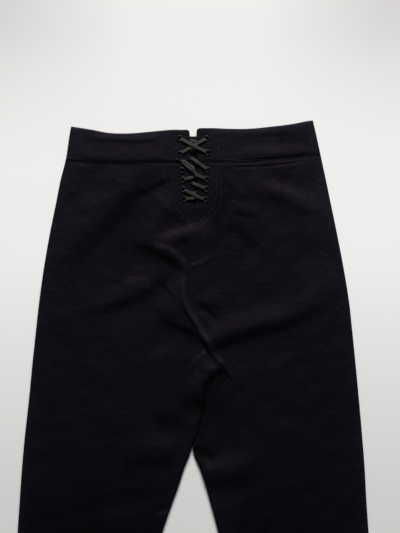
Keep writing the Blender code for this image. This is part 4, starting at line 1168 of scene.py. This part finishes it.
class Shader:
    """A material's or a group's node tree, with short ways to add and join nodes."""

    def __init__(self, tree):
        self.tree = tree
        self.count = 0

    def add(self, kind, **settings):
        node = self.tree.nodes.new(kind)
        node.location = (NODE_WIDE * self.count, 0)
        self.count += 1
        for name, value in settings.items():
            setattr(node, name, value)
        return node

    def feed(self, node, socket, value):
        if isinstance(value, Value):
            self.tree.links.new(value.socket, node.inputs[socket])
        else:
            node.inputs[socket].default_value = value

    def give(self, node, **values):
        """Feeds sockets by their names, with _ for each space."""
        for label, value in values.items():
            self.feed(node, label.replace("_", " "), value)
        return node

    def outputs(self, node):
        return {socket.name: Value(self, socket) for socket in node.outputs}

    def math(self, operation, *inputs):
        node = self.add("ShaderNodeMath", operation=operation)
        for number, value in enumerate(inputs):
            self.feed(node, number, value)
        return Value(self, node.outputs[0])

    def mix(self, share, a, b):
        """From one colour to another; each is a value, or red, green and blue."""
        node = self.add("ShaderNodeMix", data_type="RGBA")
        self.feed(node, 0, share)
        for socket, colour in ((6, a), (7, b)):
            self.feed(node, socket, colour if isinstance(colour, Value) else (*colour, 1))
        return Value(self, node.outputs[2])

    def place(self):
        return self.outputs(self.add("ShaderNodeTexCoord"))["Object"]

    def split(self, place):
        return self.outputs(self.give(self.add("ShaderNodeSeparateXYZ"), Vector=place))

    def attribute(self, name):
        return self.outputs(self.add("ShaderNodeAttribute", attribute_name=name))["Fac"]

    def noise(self, place, scale, detail, roughness, distortion=0.0):
        node = self.add("ShaderNodeTexNoise")
        self.give(node, Vector=place, Scale=scale, Detail=detail, Roughness=roughness)
        return self.outputs(self.give(node, Distortion=distortion))["Fac"]

    def bump(self, height, strength, distance):
        node = self.add("ShaderNodeBump")
        self.give(node, Strength=strength, Distance=distance, Height=height)
        return self.outputs(node)["Normal"]

    def use(self, group, **values):
        return self.outputs(self.give(self.add("ShaderNodeGroup", node_tree=group), **values))


def new_group(name, inputs, outputs):
    """An empty node group with float inputs and outputs: (group, shader, its inputs, its end)."""
    group = bpy.data.node_groups.new(name, "ShaderNodeTree")
    for label, value in inputs.items():
        socket = group.interface.new_socket(label, in_out="INPUT", socket_type="NodeSocketFloat")
        socket.default_value = value
    for label in outputs:
        group.interface.new_socket(label, in_out="OUTPUT", socket_type="NodeSocketFloat")
    shader = Shader(group)
    given = shader.outputs(shader.add("NodeGroupInput"))
    return group, shader, given, shader.add("NodeGroupOutput")


def new_material(name, **values):
    """A Principled material with constants on its own sockets."""
    material = bpy.data.materials.new(name)
    material.use_nodes = True
    shader = Shader(material.node_tree)
    principled = material.node_tree.nodes["Principled BSDF"]
    return material, shader, shader.give(principled, **values)


def make_wool_surface():
    """Milled wool: a twill that shows faintly through a short nap, and slow unevenness."""
    inputs = {"Nap Scale": NAP_SCALE, "Twill Pitch": TWILL_PITCH, "Twill Share": TWILL_SHARE}
    group, shader, given, end = new_group(
        "wool_surface", inputs, ["Shade", "Nap", "Height", "Fleck"]
    )
    place = shader.place()
    nap = shader.noise(place, given["Nap Scale"], *NAP_NOISE)
    stretched = shader.add("ShaderNodeMapping")
    shader.give(stretched, Vector=place, Rotation=FIBRE_TURN, Scale=FIBRE_STRETCH)
    fibres = shader.noise(shader.outputs(stretched)["Vector"], *FIBRE_NOISE)
    slow, patch, tuft, fleck = (
        shader.noise(place, *noise) for noise in (SLOW_NOISE, PATCH_NOISE, TUFT_NOISE, FLECK_NOISE)
    )
    split = shader.split(place)
    turns = (split["X"] + split["Y"]) / given["Twill Pitch"]
    twill = (turns * (2 * math.pi) + nap * TWILL_WOBBLE).wave() * given["Twill Share"]
    hair = nap * HAIR_HEIGHT + fibres * HAIR_HEIGHT
    height = hair + twill + (patch * PATCH_HEIGHT + slow * SLOW_HEIGHT + tuft * TUFT_HEIGHT)
    shade = (slow * SLOW_SHADE + patch * PATCH_SHADE - SHADE_DARK).clamped()
    fleck = ((fleck - FLECK_FROM) * FLECK_CONTRAST).clamped()
    shader.give(end, Shade=shade, Nap=hair, Height=height, Fleck=fleck)
    return group


def make_melton(name, surface, colours, nap_scale=NAP_SCALE, twill=TWILL_SHARE):
    """Matt wool between two colours, lighter with rubbed nap and painted highlights, darker with
    painted shade.
    """
    dark, light = colours
    material, shader, principled = new_material(
        name, Roughness=0.62, Specular_IOR_Level=0.11, Specular_Tint=(0.98, 0.82, 1.0, 1)
    )
    wool = shader.use(surface, Nap_Scale=nap_scale, Twill_Share=twill)
    nap = ((wool["Nap"] - NAP_DARK) * NAP_CONTRAST).clamped()
    tone = nap * NAP_SHARE + wool["Shade"] * SHADE_SHARE
    # The points' marks: rubbed nap and painted highlights over 0, painted shade under 0
    worn = shader.attribute("worn")
    highlight_and_wear_colour = [WEAR_AND_HIGHLIGHT_LIGHTER * value for value in light]
    painted_shade_colour = [PAINTED_SHADE_DARKER * value for value in dark]
    # Rubbed nap and painted highlights make the colour lighter, painted shade makes it darker
    colour = shader.mix((worn * tone).clamped(), shader.mix(tone, dark, light), highlight_and_wear_colour)
    colour = shader.mix((worn * -1.0).clamped(), colour, painted_shade_colour)
    colour = shader.mix(wool["Fleck"], colour, FLECK_COLOUR)
    shader.give(principled, Base_Color=colour, Normal=shader.bump(wool["Height"], *WOOL_BUMP))
    return material


def make_lace_braid():
    """Cotton braid: two rows of slanting strands that meet in a groove along the middle, which has
    painted shade.
    """
    material, shader, principled = new_material(
        "lace_braid", Roughness=0.8, Specular_IOR_Level=0.25, Sheen_Weight=0.05, Sheen_Roughness=0.4
    )
    along = shader.attribute("along")
    beside = abs(shader.attribute("beside"))
    slant = beside * LACE_STRAND_PITCH
    strand = ((along + slant) * (2 * math.pi / LACE_STRAND_PITCH)).wave()
    place = shader.place()
    worn = shader.noise(place, *BRAID_WEAR_NOISE)
    fibre = shader.noise(place, *BRAID_FIBRE_NOISE)
    # Painted shade along the middle groove
    middle = (1.0 - beside * BRAID_GROOVE_NARROW).clamped()
    tone = strand * STRAND_TONE + worn * BRAID_WEAR_TONE
    tone = (tone - middle * BRAID_GROOVE_SHADE).clamped()
    # Greyer towards the slit's foot; a painted shadow at the tail, and a painted shadow where the
    # free end folds under
    upwards = shader.split(place)["Y"]
    greying = ((LACE_GREYING_FROM_Y - upwards) / LACE_GREYING_LENGTH).clamped()
    tail_shadow = ((along / LACE_TAIL).clamped() + TAIL_TONE).clamped()
    crease = (1.0 - abs((along - LACE_CREASE_ALONG) / LACE_CREASE_LENGTH)).clamped()
    tone = tone * (1.0 - greying * LACE_GREYING) * (tail_shadow * (1.0 - crease * LACE_CREASE_SHADE))
    colour = shader.mix(tone, (0.010, 0.0096, 0.0088), (0.080, 0.0775, 0.067))
    bump = shader.bump(strand + fibre * BRAID_FIBRE_HEIGHT, *BRAID_BUMP)
    shader.give(principled, Base_Color=colour, Normal=bump)
    return material


def make_eyelet_enamel():
    """Dark enamelled metal that has worn to bare metal in places along the rim."""
    material, shader, principled = new_material("eyelet_enamel", Specular_IOR_Level=0.22)
    place = shader.place()
    bare = ((shader.noise(place, *ENAMEL_WEAR_NOISE) - BARE_FROM) * BARE_CONTRAST).clamped()
    colour = shader.mix(bare, (0.0060, 0.0054, 0.0078), (0.046, 0.042, 0.051))
    bump = shader.bump(shader.noise(place, *ENAMEL_NOISE), *ENAMEL_BUMP)
    shader.give(principled, Base_Color=colour, Metallic=bare * BARE_METAL, Normal=bump)
    shader.give(principled, Roughness=bare * BARE_ROUGHER + ENAMEL_ROUGHNESS)
    return material


def make_thread():
    material, shader, principled = new_material(
        "stitch_thread", Roughness=0.55, Specular_IOR_Level=0.35, Sheen_Weight=0.05
    )
    ply = shader.noise(shader.place(), *PLY_NOISE)
    colour = shader.mix(ply, (0.007, 0.006, 0.010), (0.019, 0.017, 0.024))
    shader.give(principled, Base_Color=colour, Normal=shader.bump(ply, *PLY_BUMP))
    return material


def make_floor_paper():
    """Near-white paper with a painted falloff beyond the waist and a painted pool of light beside
    the hips, as in the photo.
    """
    material, shader, principled = new_material(
        "floor_paper", Roughness=0.9, Specular_IOR_Level=0.1
    )
    place = shader.place()
    split = shader.split(place)
    # Painted light: a falloff beyond the waist and at the sides, and a pool beside the hips
    beyond_waist = ((split["Y"] - DULL_FROM_Y) / DULL_LENGTH).clamped()
    aside = ((abs(split["X"]) - ASIDE_FROM_X) / ASIDE_LENGTH).clamped()
    painted_falloff = beyond_waist * DULL_ALL + beyond_waist * aside * DULL_ASIDE
    painted_pool = (1.0 - abs(split["Y"] - HIPS_Y) / HIPS_REACH).clamped()
    tone = shader.noise(place, *PAPER_NOISE)
    paper = shader.mix(tone, (0.60, 0.597, 0.593), (0.62, 0.617, 0.613))
    paper = shader.mix(painted_falloff, paper, (0.46, 0.458, 0.455))
    shader.give(principled, Base_Color=shader.mix(painted_pool, paper, (0.69, 0.687, 0.683)))
    return material


# Cloth pieces
def prism(across, down, radius, sides, ups):
    turn = np.arange(sides) * 2 * math.pi / sides
    ring = np.stack([across + radius * np.cos(turn), down - radius * np.sin(turn)], axis=1)
    points = [np.column_stack([ring, np.full(sides, up)]) for up in ups]
    return to_scene(np.concatenate(points)), tube_faces(2, sides)


def cut_eyelet_holes(piece, side, which):
    hole = (EYELET_BARREL + SEAM_GAP, EYELET_HOLE_SIDES, EYELET_HOLE_UPS)
    parts = [prism(*place, *hole) for place in EYELETS[side][which]]
    boolean_cut(piece, joined("eyelet_hole_cutter", parts))


def cut_fall_room(piece):
    """Takes the fall's place, with a gap round it, out of a front."""
    foot = FALL_FOOT_DOWN + SEAM_GAP
    wide = FALL_HALF_WIDTH + SEAM_GAP
    top = FALL_ROOM_TOP_DOWN
    outline = ((-wide, top), (wide, top), (wide, foot), (-wide, foot))
    corners = to_scene([(*corner, up) for up in FALL_ROOM_UPS for corner in outline])
    faces = [[0, 1, 2, 3], [7, 6, 5, 4], [0, 4, 5, 1], [1, 5, 6, 2], [2, 6, 7, 3], [3, 7, 4, 0]]
    boolean_cut(piece, mesh_object("fall_room_cutter", corners, faces))


def make_piece(node, side, rows, columns, down_at, inner_at, seat, thick, material):
    """One side's piece as a wall; a back piece, which has a seat, also carries its wear and its
    painted light and shade.
    """
    inside = spaced(columns)[1:-1]
    outer, inner = panel(side, spaced(rows), inside, down_at, inner_at, seat, thick)
    worn = wear_and_painted_light(side, outer[..., 0], outer[..., 1]) if seat else None
    return wall(f"{node}_cloth", outer, inner, material, worn)


def make_backs(side, melton):
    back, band = f"back_{side}", f"waistband_back_{side}"
    piece = make_piece(
        back, side, BACK_ROWS, BACK_COLUMNS, below_seam(back_seam), back_middle, body_seat, CLOTH,
        melton,
    )
    cut_eyelet_holes(piece, side, slice(BAND_EYELETS, None))
    dress(piece, back)
    piece = make_piece(
        band, side, BAND_ROWS, BAND_COLUMNS, within_band(back_band_top, back_seam), back_middle,
        band_seat, BAND_CLOTH, melton,
    )
    cut_eyelet_holes(piece, side, slice(0, BAND_EYELETS))
    dress(piece, band)


def make_fronts(side, melton):
    front, band = f"front_{side}", f"waistband_front_{side}"
    piece = make_piece(
        front, side, FRONT_ROWS, FRONT_COLUMNS, below_seam(front_seam), front_middle, None, CLOTH,
        melton,
    )
    cut_fall_room(piece)
    dress(piece, front)
    piece = make_piece(
        band, side, FRONT_BAND_ROWS, FRONT_BAND_COLUMNS, within_band(front_top, front_seam),
        front_middle, None, BAND_CLOTH, melton,
    )
    dress(piece, band)


def make_fall(melton):
    rows, columns = FALL_MESH
    across = np.linspace(-FALL_HALF_WIDTH, FALL_HALF_WIDTH, columns)
    top = front_seam(across) + SEAM_GAP / 2
    down = between(top, FALL_FOOT_DOWN, np.linspace(0, 1, rows)[:, None])
    outer = np.stack([across + 0 * down, down, 0 * down], axis=2)
    piece = wall("front_fall_cloth", outer, outer + np.array([0, 0, CLOTH]), melton)
    dress(piece, "front_fall")


def make_gusset(material):
    """The gusset behind the slit, whose sides rise to the back panels that they are sewn to."""
    rows, columns = GUSSET_MESH
    down = np.linspace(GUSSET_TOP_DOWN, GUSSET_FOOT_DOWN, rows)[:, None]
    taper = soft_step((down - GUSSET_TAPER_DOWN) / (GUSSET_FOOT_DOWN - GUSSET_TAPER_DOWN))
    share = np.linspace(-1, 1, columns)[None, :]
    across = SLIT_MIDDLE + between(GUSSET_HALF_WIDTH, GUSSET_FOOT_HALF_WIDTH, taper) * share
    lift = soft_step((np.abs(share) - GUSSET_FLAT_SHARE) / (1 - GUSSET_FLAT_SHARE)) * (1 - taper)
    fine, long, middle = GUSSET_RIPPLE_LENGTHS
    ripple = GUSSET_RIPPLE * np.sin(across / fine + down / long) * np.cos(down / middle)
    ripple = ripple * (1 - taper)
    hemmed = soft_edge(down - GUSSET_TOP_DOWN, GUSSET_TOP_SOFT)
    up = between(GUSSET_UP, GUSSET_EDGE_UP, lift) + ripple * (1 - lift) + hemmed
    outer = np.stack([across, 0 * across + down, up], axis=2)
    drop = np.array([0, 0, GUSSET_CLOTH]) * np.ones_like(outer)
    drop[..., 2] += hemmed + 0 * across
    piece = wall("gusset_cloth_piece", outer, outer - drop, material)
    dress(piece, "gusset")


# Eyelets
def eyelet_foot(number):
    """The height at which an eyelet's rim stands, by its number down the slit."""
    return PLACKET_UP + (BAND_STEP if number <= BAND_EYELETS else 0) + SEAM_GAP


def make_eyelets(material):
    """Six eyelets down each side of the slit, each a rounded rim and a barrel."""
    middle, half = (EYELET_RIM + EYELET_BORE) / 2, (EYELET_RIM - EYELET_BORE) / 2
    arch = np.radians(np.linspace(0, 180, EYELET_CROWN_POINTS))
    domed = between(EYELET_RIM_FOOT, EYELET_RIM_HEIGHT, np.sin(arch))
    crown = np.column_stack([middle + half * np.cos(arch), domed])
    turn = np.arange(EYELET_SIDES) * 2 * math.pi / EYELET_SIDES
    for side, places in EYELETS.items():
        for number, (across, down) in enumerate(places, 1):
            thick = BAND_CLOTH if number <= BAND_EYELETS else CLOTH
            barrel = [(EYELET_BORE, -thick), (EYELET_BARREL, -thick), (EYELET_BARREL, 0)]
            away, up = np.array([(EYELET_RIM, 0), *crown, *barrel]).T
            rings = [across + np.outer(np.cos(turn), away), down + np.outer(np.sin(turn), away)]
            rings.append(eyelet_foot(number) + up + 0 * rings[0])
            points = to_scene(np.stack(rings, axis=2).reshape(-1, 3))
            name = f"eyelet_{side}_{number}"
            faces = tube_faces(EYELET_SIDES, len(up), looped=True)
            piece = smooth(mesh_object(f"{name}_rim", points, faces, material))
            dress(piece, name)


# Lace
def columns_through(places, rows, at):
    """Each column of some rows, on a smooth curve through them."""
    return np.stack([curve_through(places, column, at) for column in rows.T], axis=1)


def smooth_route(points, steps):
    """A smooth curve through a route's own points, with some steps between each two."""
    points = np.asarray(points, float)
    last = len(points) - 1
    return columns_through(np.arange(last + 1), points, np.linspace(0, last, last * steps + 1))


def unit(vectors):
    return vectors / np.linalg.norm(vectors, axis=-1, keepdims=True)


def ways_across(path):
    """For each place on a flat lace, the way across its width."""
    runs = unit(np.gradient(path, axis=0))
    wide = np.stack([-runs[:, 1], runs[:, 0], 0 * runs[:, 0]], axis=1)
    length = np.linalg.norm(wide, axis=1)
    for i in range(1, len(wide)):
        if length[i] < STEEP_RUN:
            wide[i] = wide[i - 1]
        wide[i] /= np.linalg.norm(wide[i])
        if wide[i] @ wide[i - 1] < 0:
            wide[i] = -wide[i]
    for _ in range(FRAME_SMOOTHINGS):
        wide[1:-1] = (wide[:-2] + 2 * wide[1:-1] + wide[2:]) / 4
    return wide


def lace_over(number):
    """The middle of the lace where it lies on an eyelet's rim."""
    return eyelet_foot(number) + EYELET_RIM_HEIGHT + SEAM_GAP + LACE_THICK / 2


def from_eyelet(eyelet, towards):
    """An eyelet's number, its middle, and the way from there towards a place."""
    side, number = eyelet
    centre = np.array(EYELETS[side][number - 1])
    return number, centre, unit(np.array(towards[:2]) - centre)


def beside_eyelet(eyelet, towards, way):
    """The lace's points where it turns into an eyelet, from the hole outwards, each with how far
    it is gathered there."""
    number, centre, heading = from_eyelet(eyelet, towards)
    level = lace_over(number) if way == "over" else LACE_UNDER
    turns = LACE_TURNS[way]
    return [(*(centre + heading * turn.away), level + turn.lift, turn.held) for turn in turns]


def in_eyelet(eyelet, towards):
    """The lace's point inside an eyelet, where it lies against the side that it comes over."""
    number, centre, heading = from_eyelet(eyelet, towards)
    return (*(centre + heading * LACE_HOLE_LEAN), (lace_over(number) + LACE_UNDER) / 2, 1.0)


def lace_points():
    """The whole route, run after run: across, down, up and how far the lace is gathered."""
    points = []
    for run, following in zip(LACE_RUNS, [*LACE_RUNS[1:], None]):
        if run.start:
            points += beside_eyelet(run.start, run.via[0], run.leaves)
        points += [(*place, 0.0) for place in run.via]
        if run.end:
            points += beside_eyelet(run.end, run.via[-1], run.arrives)[::-1]
            over = run.via[-1] if run.arrives == "over" else following.via[0]
            points.append(in_eyelet(run.end, over))
    return points


def lace_section():
    """A flat braid cut across: two rounded rows with a groove between them on each face."""
    beside = -np.cos(np.linspace(0, math.pi, LACE_SECTION_POINTS))
    height = np.sqrt(np.maximum(1 - beside**4, 0))
    height = height * (1 - LACE_GROOVE * bell(beside, LACE_GROOVE_WIDTH))
    upper = np.column_stack([beside, height])
    lower = np.column_stack([beside, -height])[-2:0:-1]
    return np.concatenate([upper, lower]) / 2


def make_lace(material):
    """The braid along its whole route, gathered where it passes through each eyelet."""
    points = lace_points()
    coarse = to_scene(smooth_route(points, LACE_COARSE_STEPS)[:, :3]) / MM
    fine = smooth_route(points, LACE_FINE_STEPS)
    path = to_scene(fine[:, :3]) / MM
    share = np.linspace(0, len(coarse) - 1, len(path))
    wide = columns_through(np.arange(len(coarse)), ways_across(coarse), share)
    runs = unit(np.gradient(path, axis=0))
    wide = unit(wide - (wide * runs).sum(axis=1)[:, None] * runs)
    out = np.cross(runs, wide)
    along = np.concatenate([[0], np.cumsum(np.linalg.norm(np.diff(path, axis=0), axis=1))])
    held = np.clip(fine[:, 3], 0, 1)
    width = between(read(LACE_SPREADS, "width", along), LACE_HOLE_WIDTH, held)
    thick = between(LACE_THICK, LACE_HOLE_THICK, held)
    section = lace_section()
    rings = path[:, None] + wide[:, None] * (width[:, None] * section[:, 0])[..., None]
    rings = rings + out[:, None] * (thick[:, None] * section[:, 1])[..., None]
    number = np.arange(len(path) * len(section)).reshape(len(path), -1)
    after = np.roll(number, -1, axis=1)
    faces = np.stack([number[:-1], number[1:], after[1:], after[:-1]], axis=2)
    faces = faces.reshape(-1, 4).tolist() + [number[0].tolist(), number[-1, ::-1].tolist()]
    piece = smooth(mesh_object("lace_braid", rings.reshape(-1, 3) * MM, faces, material))
    set_values(piece, "along", np.repeat(along, len(section)))
    set_values(piece, "beside", np.tile(section[:, 0] * 2, len(path)))
    dress(piece, "lace")


# Stitches
def stitch(start, end, radius):
    """One stitch between two points, as a rod with tapered ends."""
    length = np.linalg.norm(end - start)
    run = unit(end - start)
    side = unit(np.cross(run, [0, 0, 1.0]))
    up = np.cross(side, run)
    turn = np.arange(STITCH_SIDES) * 2 * math.pi / STITCH_SIDES
    ring = side[None] * np.cos(turn)[:, None] + up[None] * np.sin(turn)[:, None]
    points = []
    for station in STITCH_STATIONS:
        centre = start + run * length * station.along + up * radius * station.lift
        points.append(centre + ring * radius * station.wide)
    return np.concatenate(points), tube_faces(len(points), STITCH_SIDES)


def stitch_row(line, seat):
    """Stitches along a line in plan, each lying on the height that seat gives."""
    places = places_along(line)
    starts = (np.arange(int(places[-1] / STITCH_PITCH)) + STITCH_FIRST) * STITCH_PITCH
    ends = []
    for at in (starts, starts + STITCH_LENGTH):
        across, down = (np.interp(at, places, column) for column in line.T)
        up = seat(across, down) + STITCH_RADIUS * STITCH_REST
        ends.append(to_scene(np.column_stack([across, down, up])))
    return [stitch(start, end, STITCH_RADIUS * MM) for start, end in zip(*ends)]


def stitch_lines(name, lines, seat, thread):
    """One piece of stitches along several lines, each a pair of values across and down."""
    lines = [np.column_stack(np.broadcast_arrays(*line)) for line in lines]
    piece = joined(name, [part for line in lines for part in stitch_row(line, seat)], thread)
    piece.data.shade_smooth()
    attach(piece, "root")


def on_back(seat, side):
    """The height that a back piece's seat gives at places in plan."""
    return lambda across, down: seat(across, down, np.abs(outer_edge(side, down) - across), side)


def on_underside(across, down):
    """The fronts lie flat on the floor, and their stitches stand a hair proud of them."""
    return np.full(np.shape(across), -STITCH_PROUD)


def row_places(name):
    return np.arange(*ROW_ENDS[name], ROW_STEP)


def hem_line(side, middle):
    hem = np.array(HEM_DOWN - HEM_DEPTH)
    inset = ROW_SIDE_INSET * sign_of(side)
    return np.linspace(middle(side, hem) + inset, outer_edge(side, hem) - inset, ROW_POINTS), hem


def make_back_stitches(side, thread):
    """The rows that show on the back: under the waistband, round the placket, and at the hem."""
    lines = []
    for spots in (SHIELD_OUTER, SHIELD_INNER):
        line = smooth_line(spots, ROW_STEP)
        own = line[(line[:, 0] < SLIT_MIDDLE) == (side == "left")]
        lines.append(own[own[:, 1] > back_seam(own[:, 0]) + STITCH_ROW_DOWN].T)
    across = SLIT_MIDDLE + sign_of(side) * row_places("back")
    lines.append((across, back_seam(across) + STITCH_ROW_DOWN))
    lines.append(hem_line(side, back_middle))
    stitch_lines(f"back_{side}_stitches", lines, on_back(body_seat, side), thread)

    lines = []
    for at in UPRIGHT_ROWS:
        if at * sign_of(side) > 0:
            top, foot = back_band_top(np.array(at)), back_seam(np.array(at))
            lines.append((at, np.arange(top + ROW_STEP, foot - ROW_STEP, ROW_STEP)))
    across = SLIT_MIDDLE + sign_of(side) * row_places("back band")
    lines.append((across, back_band_top(across) + BAND_ROW_INSET))
    stitch_lines(f"waistband_back_{side}_stitches", lines, on_back(band_seat, side), thread)


def make_front_stitches(side, thread):
    """The rows that show underneath: along the waistband, the centre seam and the hem."""
    beside_fall = sign_of(side) * row_places("front")
    down = row_places("front seam")
    lines = [
        (beside_fall, front_seam(beside_fall) + STITCH_ROW_DOWN),
        hem_line(side, front_middle),
        (front_middle(side, down) + FALL_STITCH_INSET * sign_of(side), down),
    ]
    stitch_lines(f"front_{side}_stitches", lines, on_underside, thread)
    across = sign_of(side) * row_places("front band")
    lines = [
        (across, front_top(across) + BAND_ROW_INSET),
        (across, front_seam(across) - BAND_ROW_INSET),
    ]
    stitch_lines(f"waistband_front_{side}_stitches", lines, on_underside, thread)


def make_fall_stitches(thread):
    """A row along the fall's top, and a double row down its sides and across its foot."""
    across = row_places("fall")
    lines = [(across, front_seam(across) + STITCH_ROW_DOWN)]
    share = np.linspace(0, 1, FALL_ROW_POINTS)[:, None]
    for inset in (FALL_STITCH_INSET, FALL_STITCH_INSET + FALL_STITCH_GAP):
        side, foot = FALL_HALF_WIDTH - inset, FALL_FOOT_DOWN - inset
        top = float(front_seam(np.array(side))) + 2 * STITCH_ROW_DOWN
        corners = np.array([(-side, top), (-side, foot), (side, foot), (side, top)])
        lines += [between(*ends, share).T for ends in zip(corners, corners[1:])]
    stitch_lines("front_fall_stitches", lines, on_underside, thread)


# Camera, light and floor
def make_camera():
    camera = bpy.data.cameras.new("camera")
    camera.sensor_width = SENSOR
    camera.lens = SENSOR * VIEW_UP / VIEW_LENGTH
    made = link_object("camera", camera)
    made.location = to_scene([VIEW_ACROSS, VIEW_DOWN, VIEW_UP])
    bpy.context.scene.camera = made


def make_window_light():
    """Soft light from beyond the waist, as from a window."""
    light = bpy.data.lights.new("window", "AREA")
    light.shape = "RECTANGLE"
    light.size, light.size_y = WINDOW_SIZE
    light.energy = WINDOW_POWER
    light.color = WINDOW_COLOUR
    made = link_object("window", light)
    made.location = WINDOW_PLACE
    aim = Vector(WINDOW_TARGET) - made.location
    made.rotation_euler = aim.to_track_quat("-Z", "Y").to_euler()


def make_room():
    world = bpy.data.worlds.new("room")
    world.use_nodes = True
    background = world.node_tree.nodes["Background"]
    background.inputs["Color"].default_value = ROOM_COLOUR
    background.inputs["Strength"].default_value = ROOM_STRENGTH
    scene = bpy.context.scene
    scene.world = world
    scene.view_settings.view_transform = "Standard"
    scene.view_settings.look = "Medium High Contrast"


def make_floor():
    half = FLOOR_HALF
    corners = [(-half, -half, 0), (half, -half, 0), (half, half, 0), (-half, half, 0)]
    floor = mesh_object("floor", corners, [[0, 1, 2, 3]], make_floor_paper())
    floor.location = (0, 0, -FLOOR_DROP)


def main():
    make_camera()
    make_window_light()
    make_room()
    make_floor()
    surface = make_wool_surface()
    melton = make_melton("melton", surface, NAVY)
    lining = make_melton("gusset_cloth", surface, GUSSET_NAVY, GUSSET_NAP_SCALE, GUSSET_TWILL)
    for side in EYELETS:
        make_backs(side, melton)
        make_fronts(side, melton)
    make_fall(melton)
    make_gusset(lining)
    make_eyelets(make_eyelet_enamel())
    make_lace(make_lace_braid())
    thread = make_thread()
    for side in EYELETS:
        make_back_stitches(side, thread)
        make_front_stitches(side, thread)
    make_fall_stitches(thread)


main()
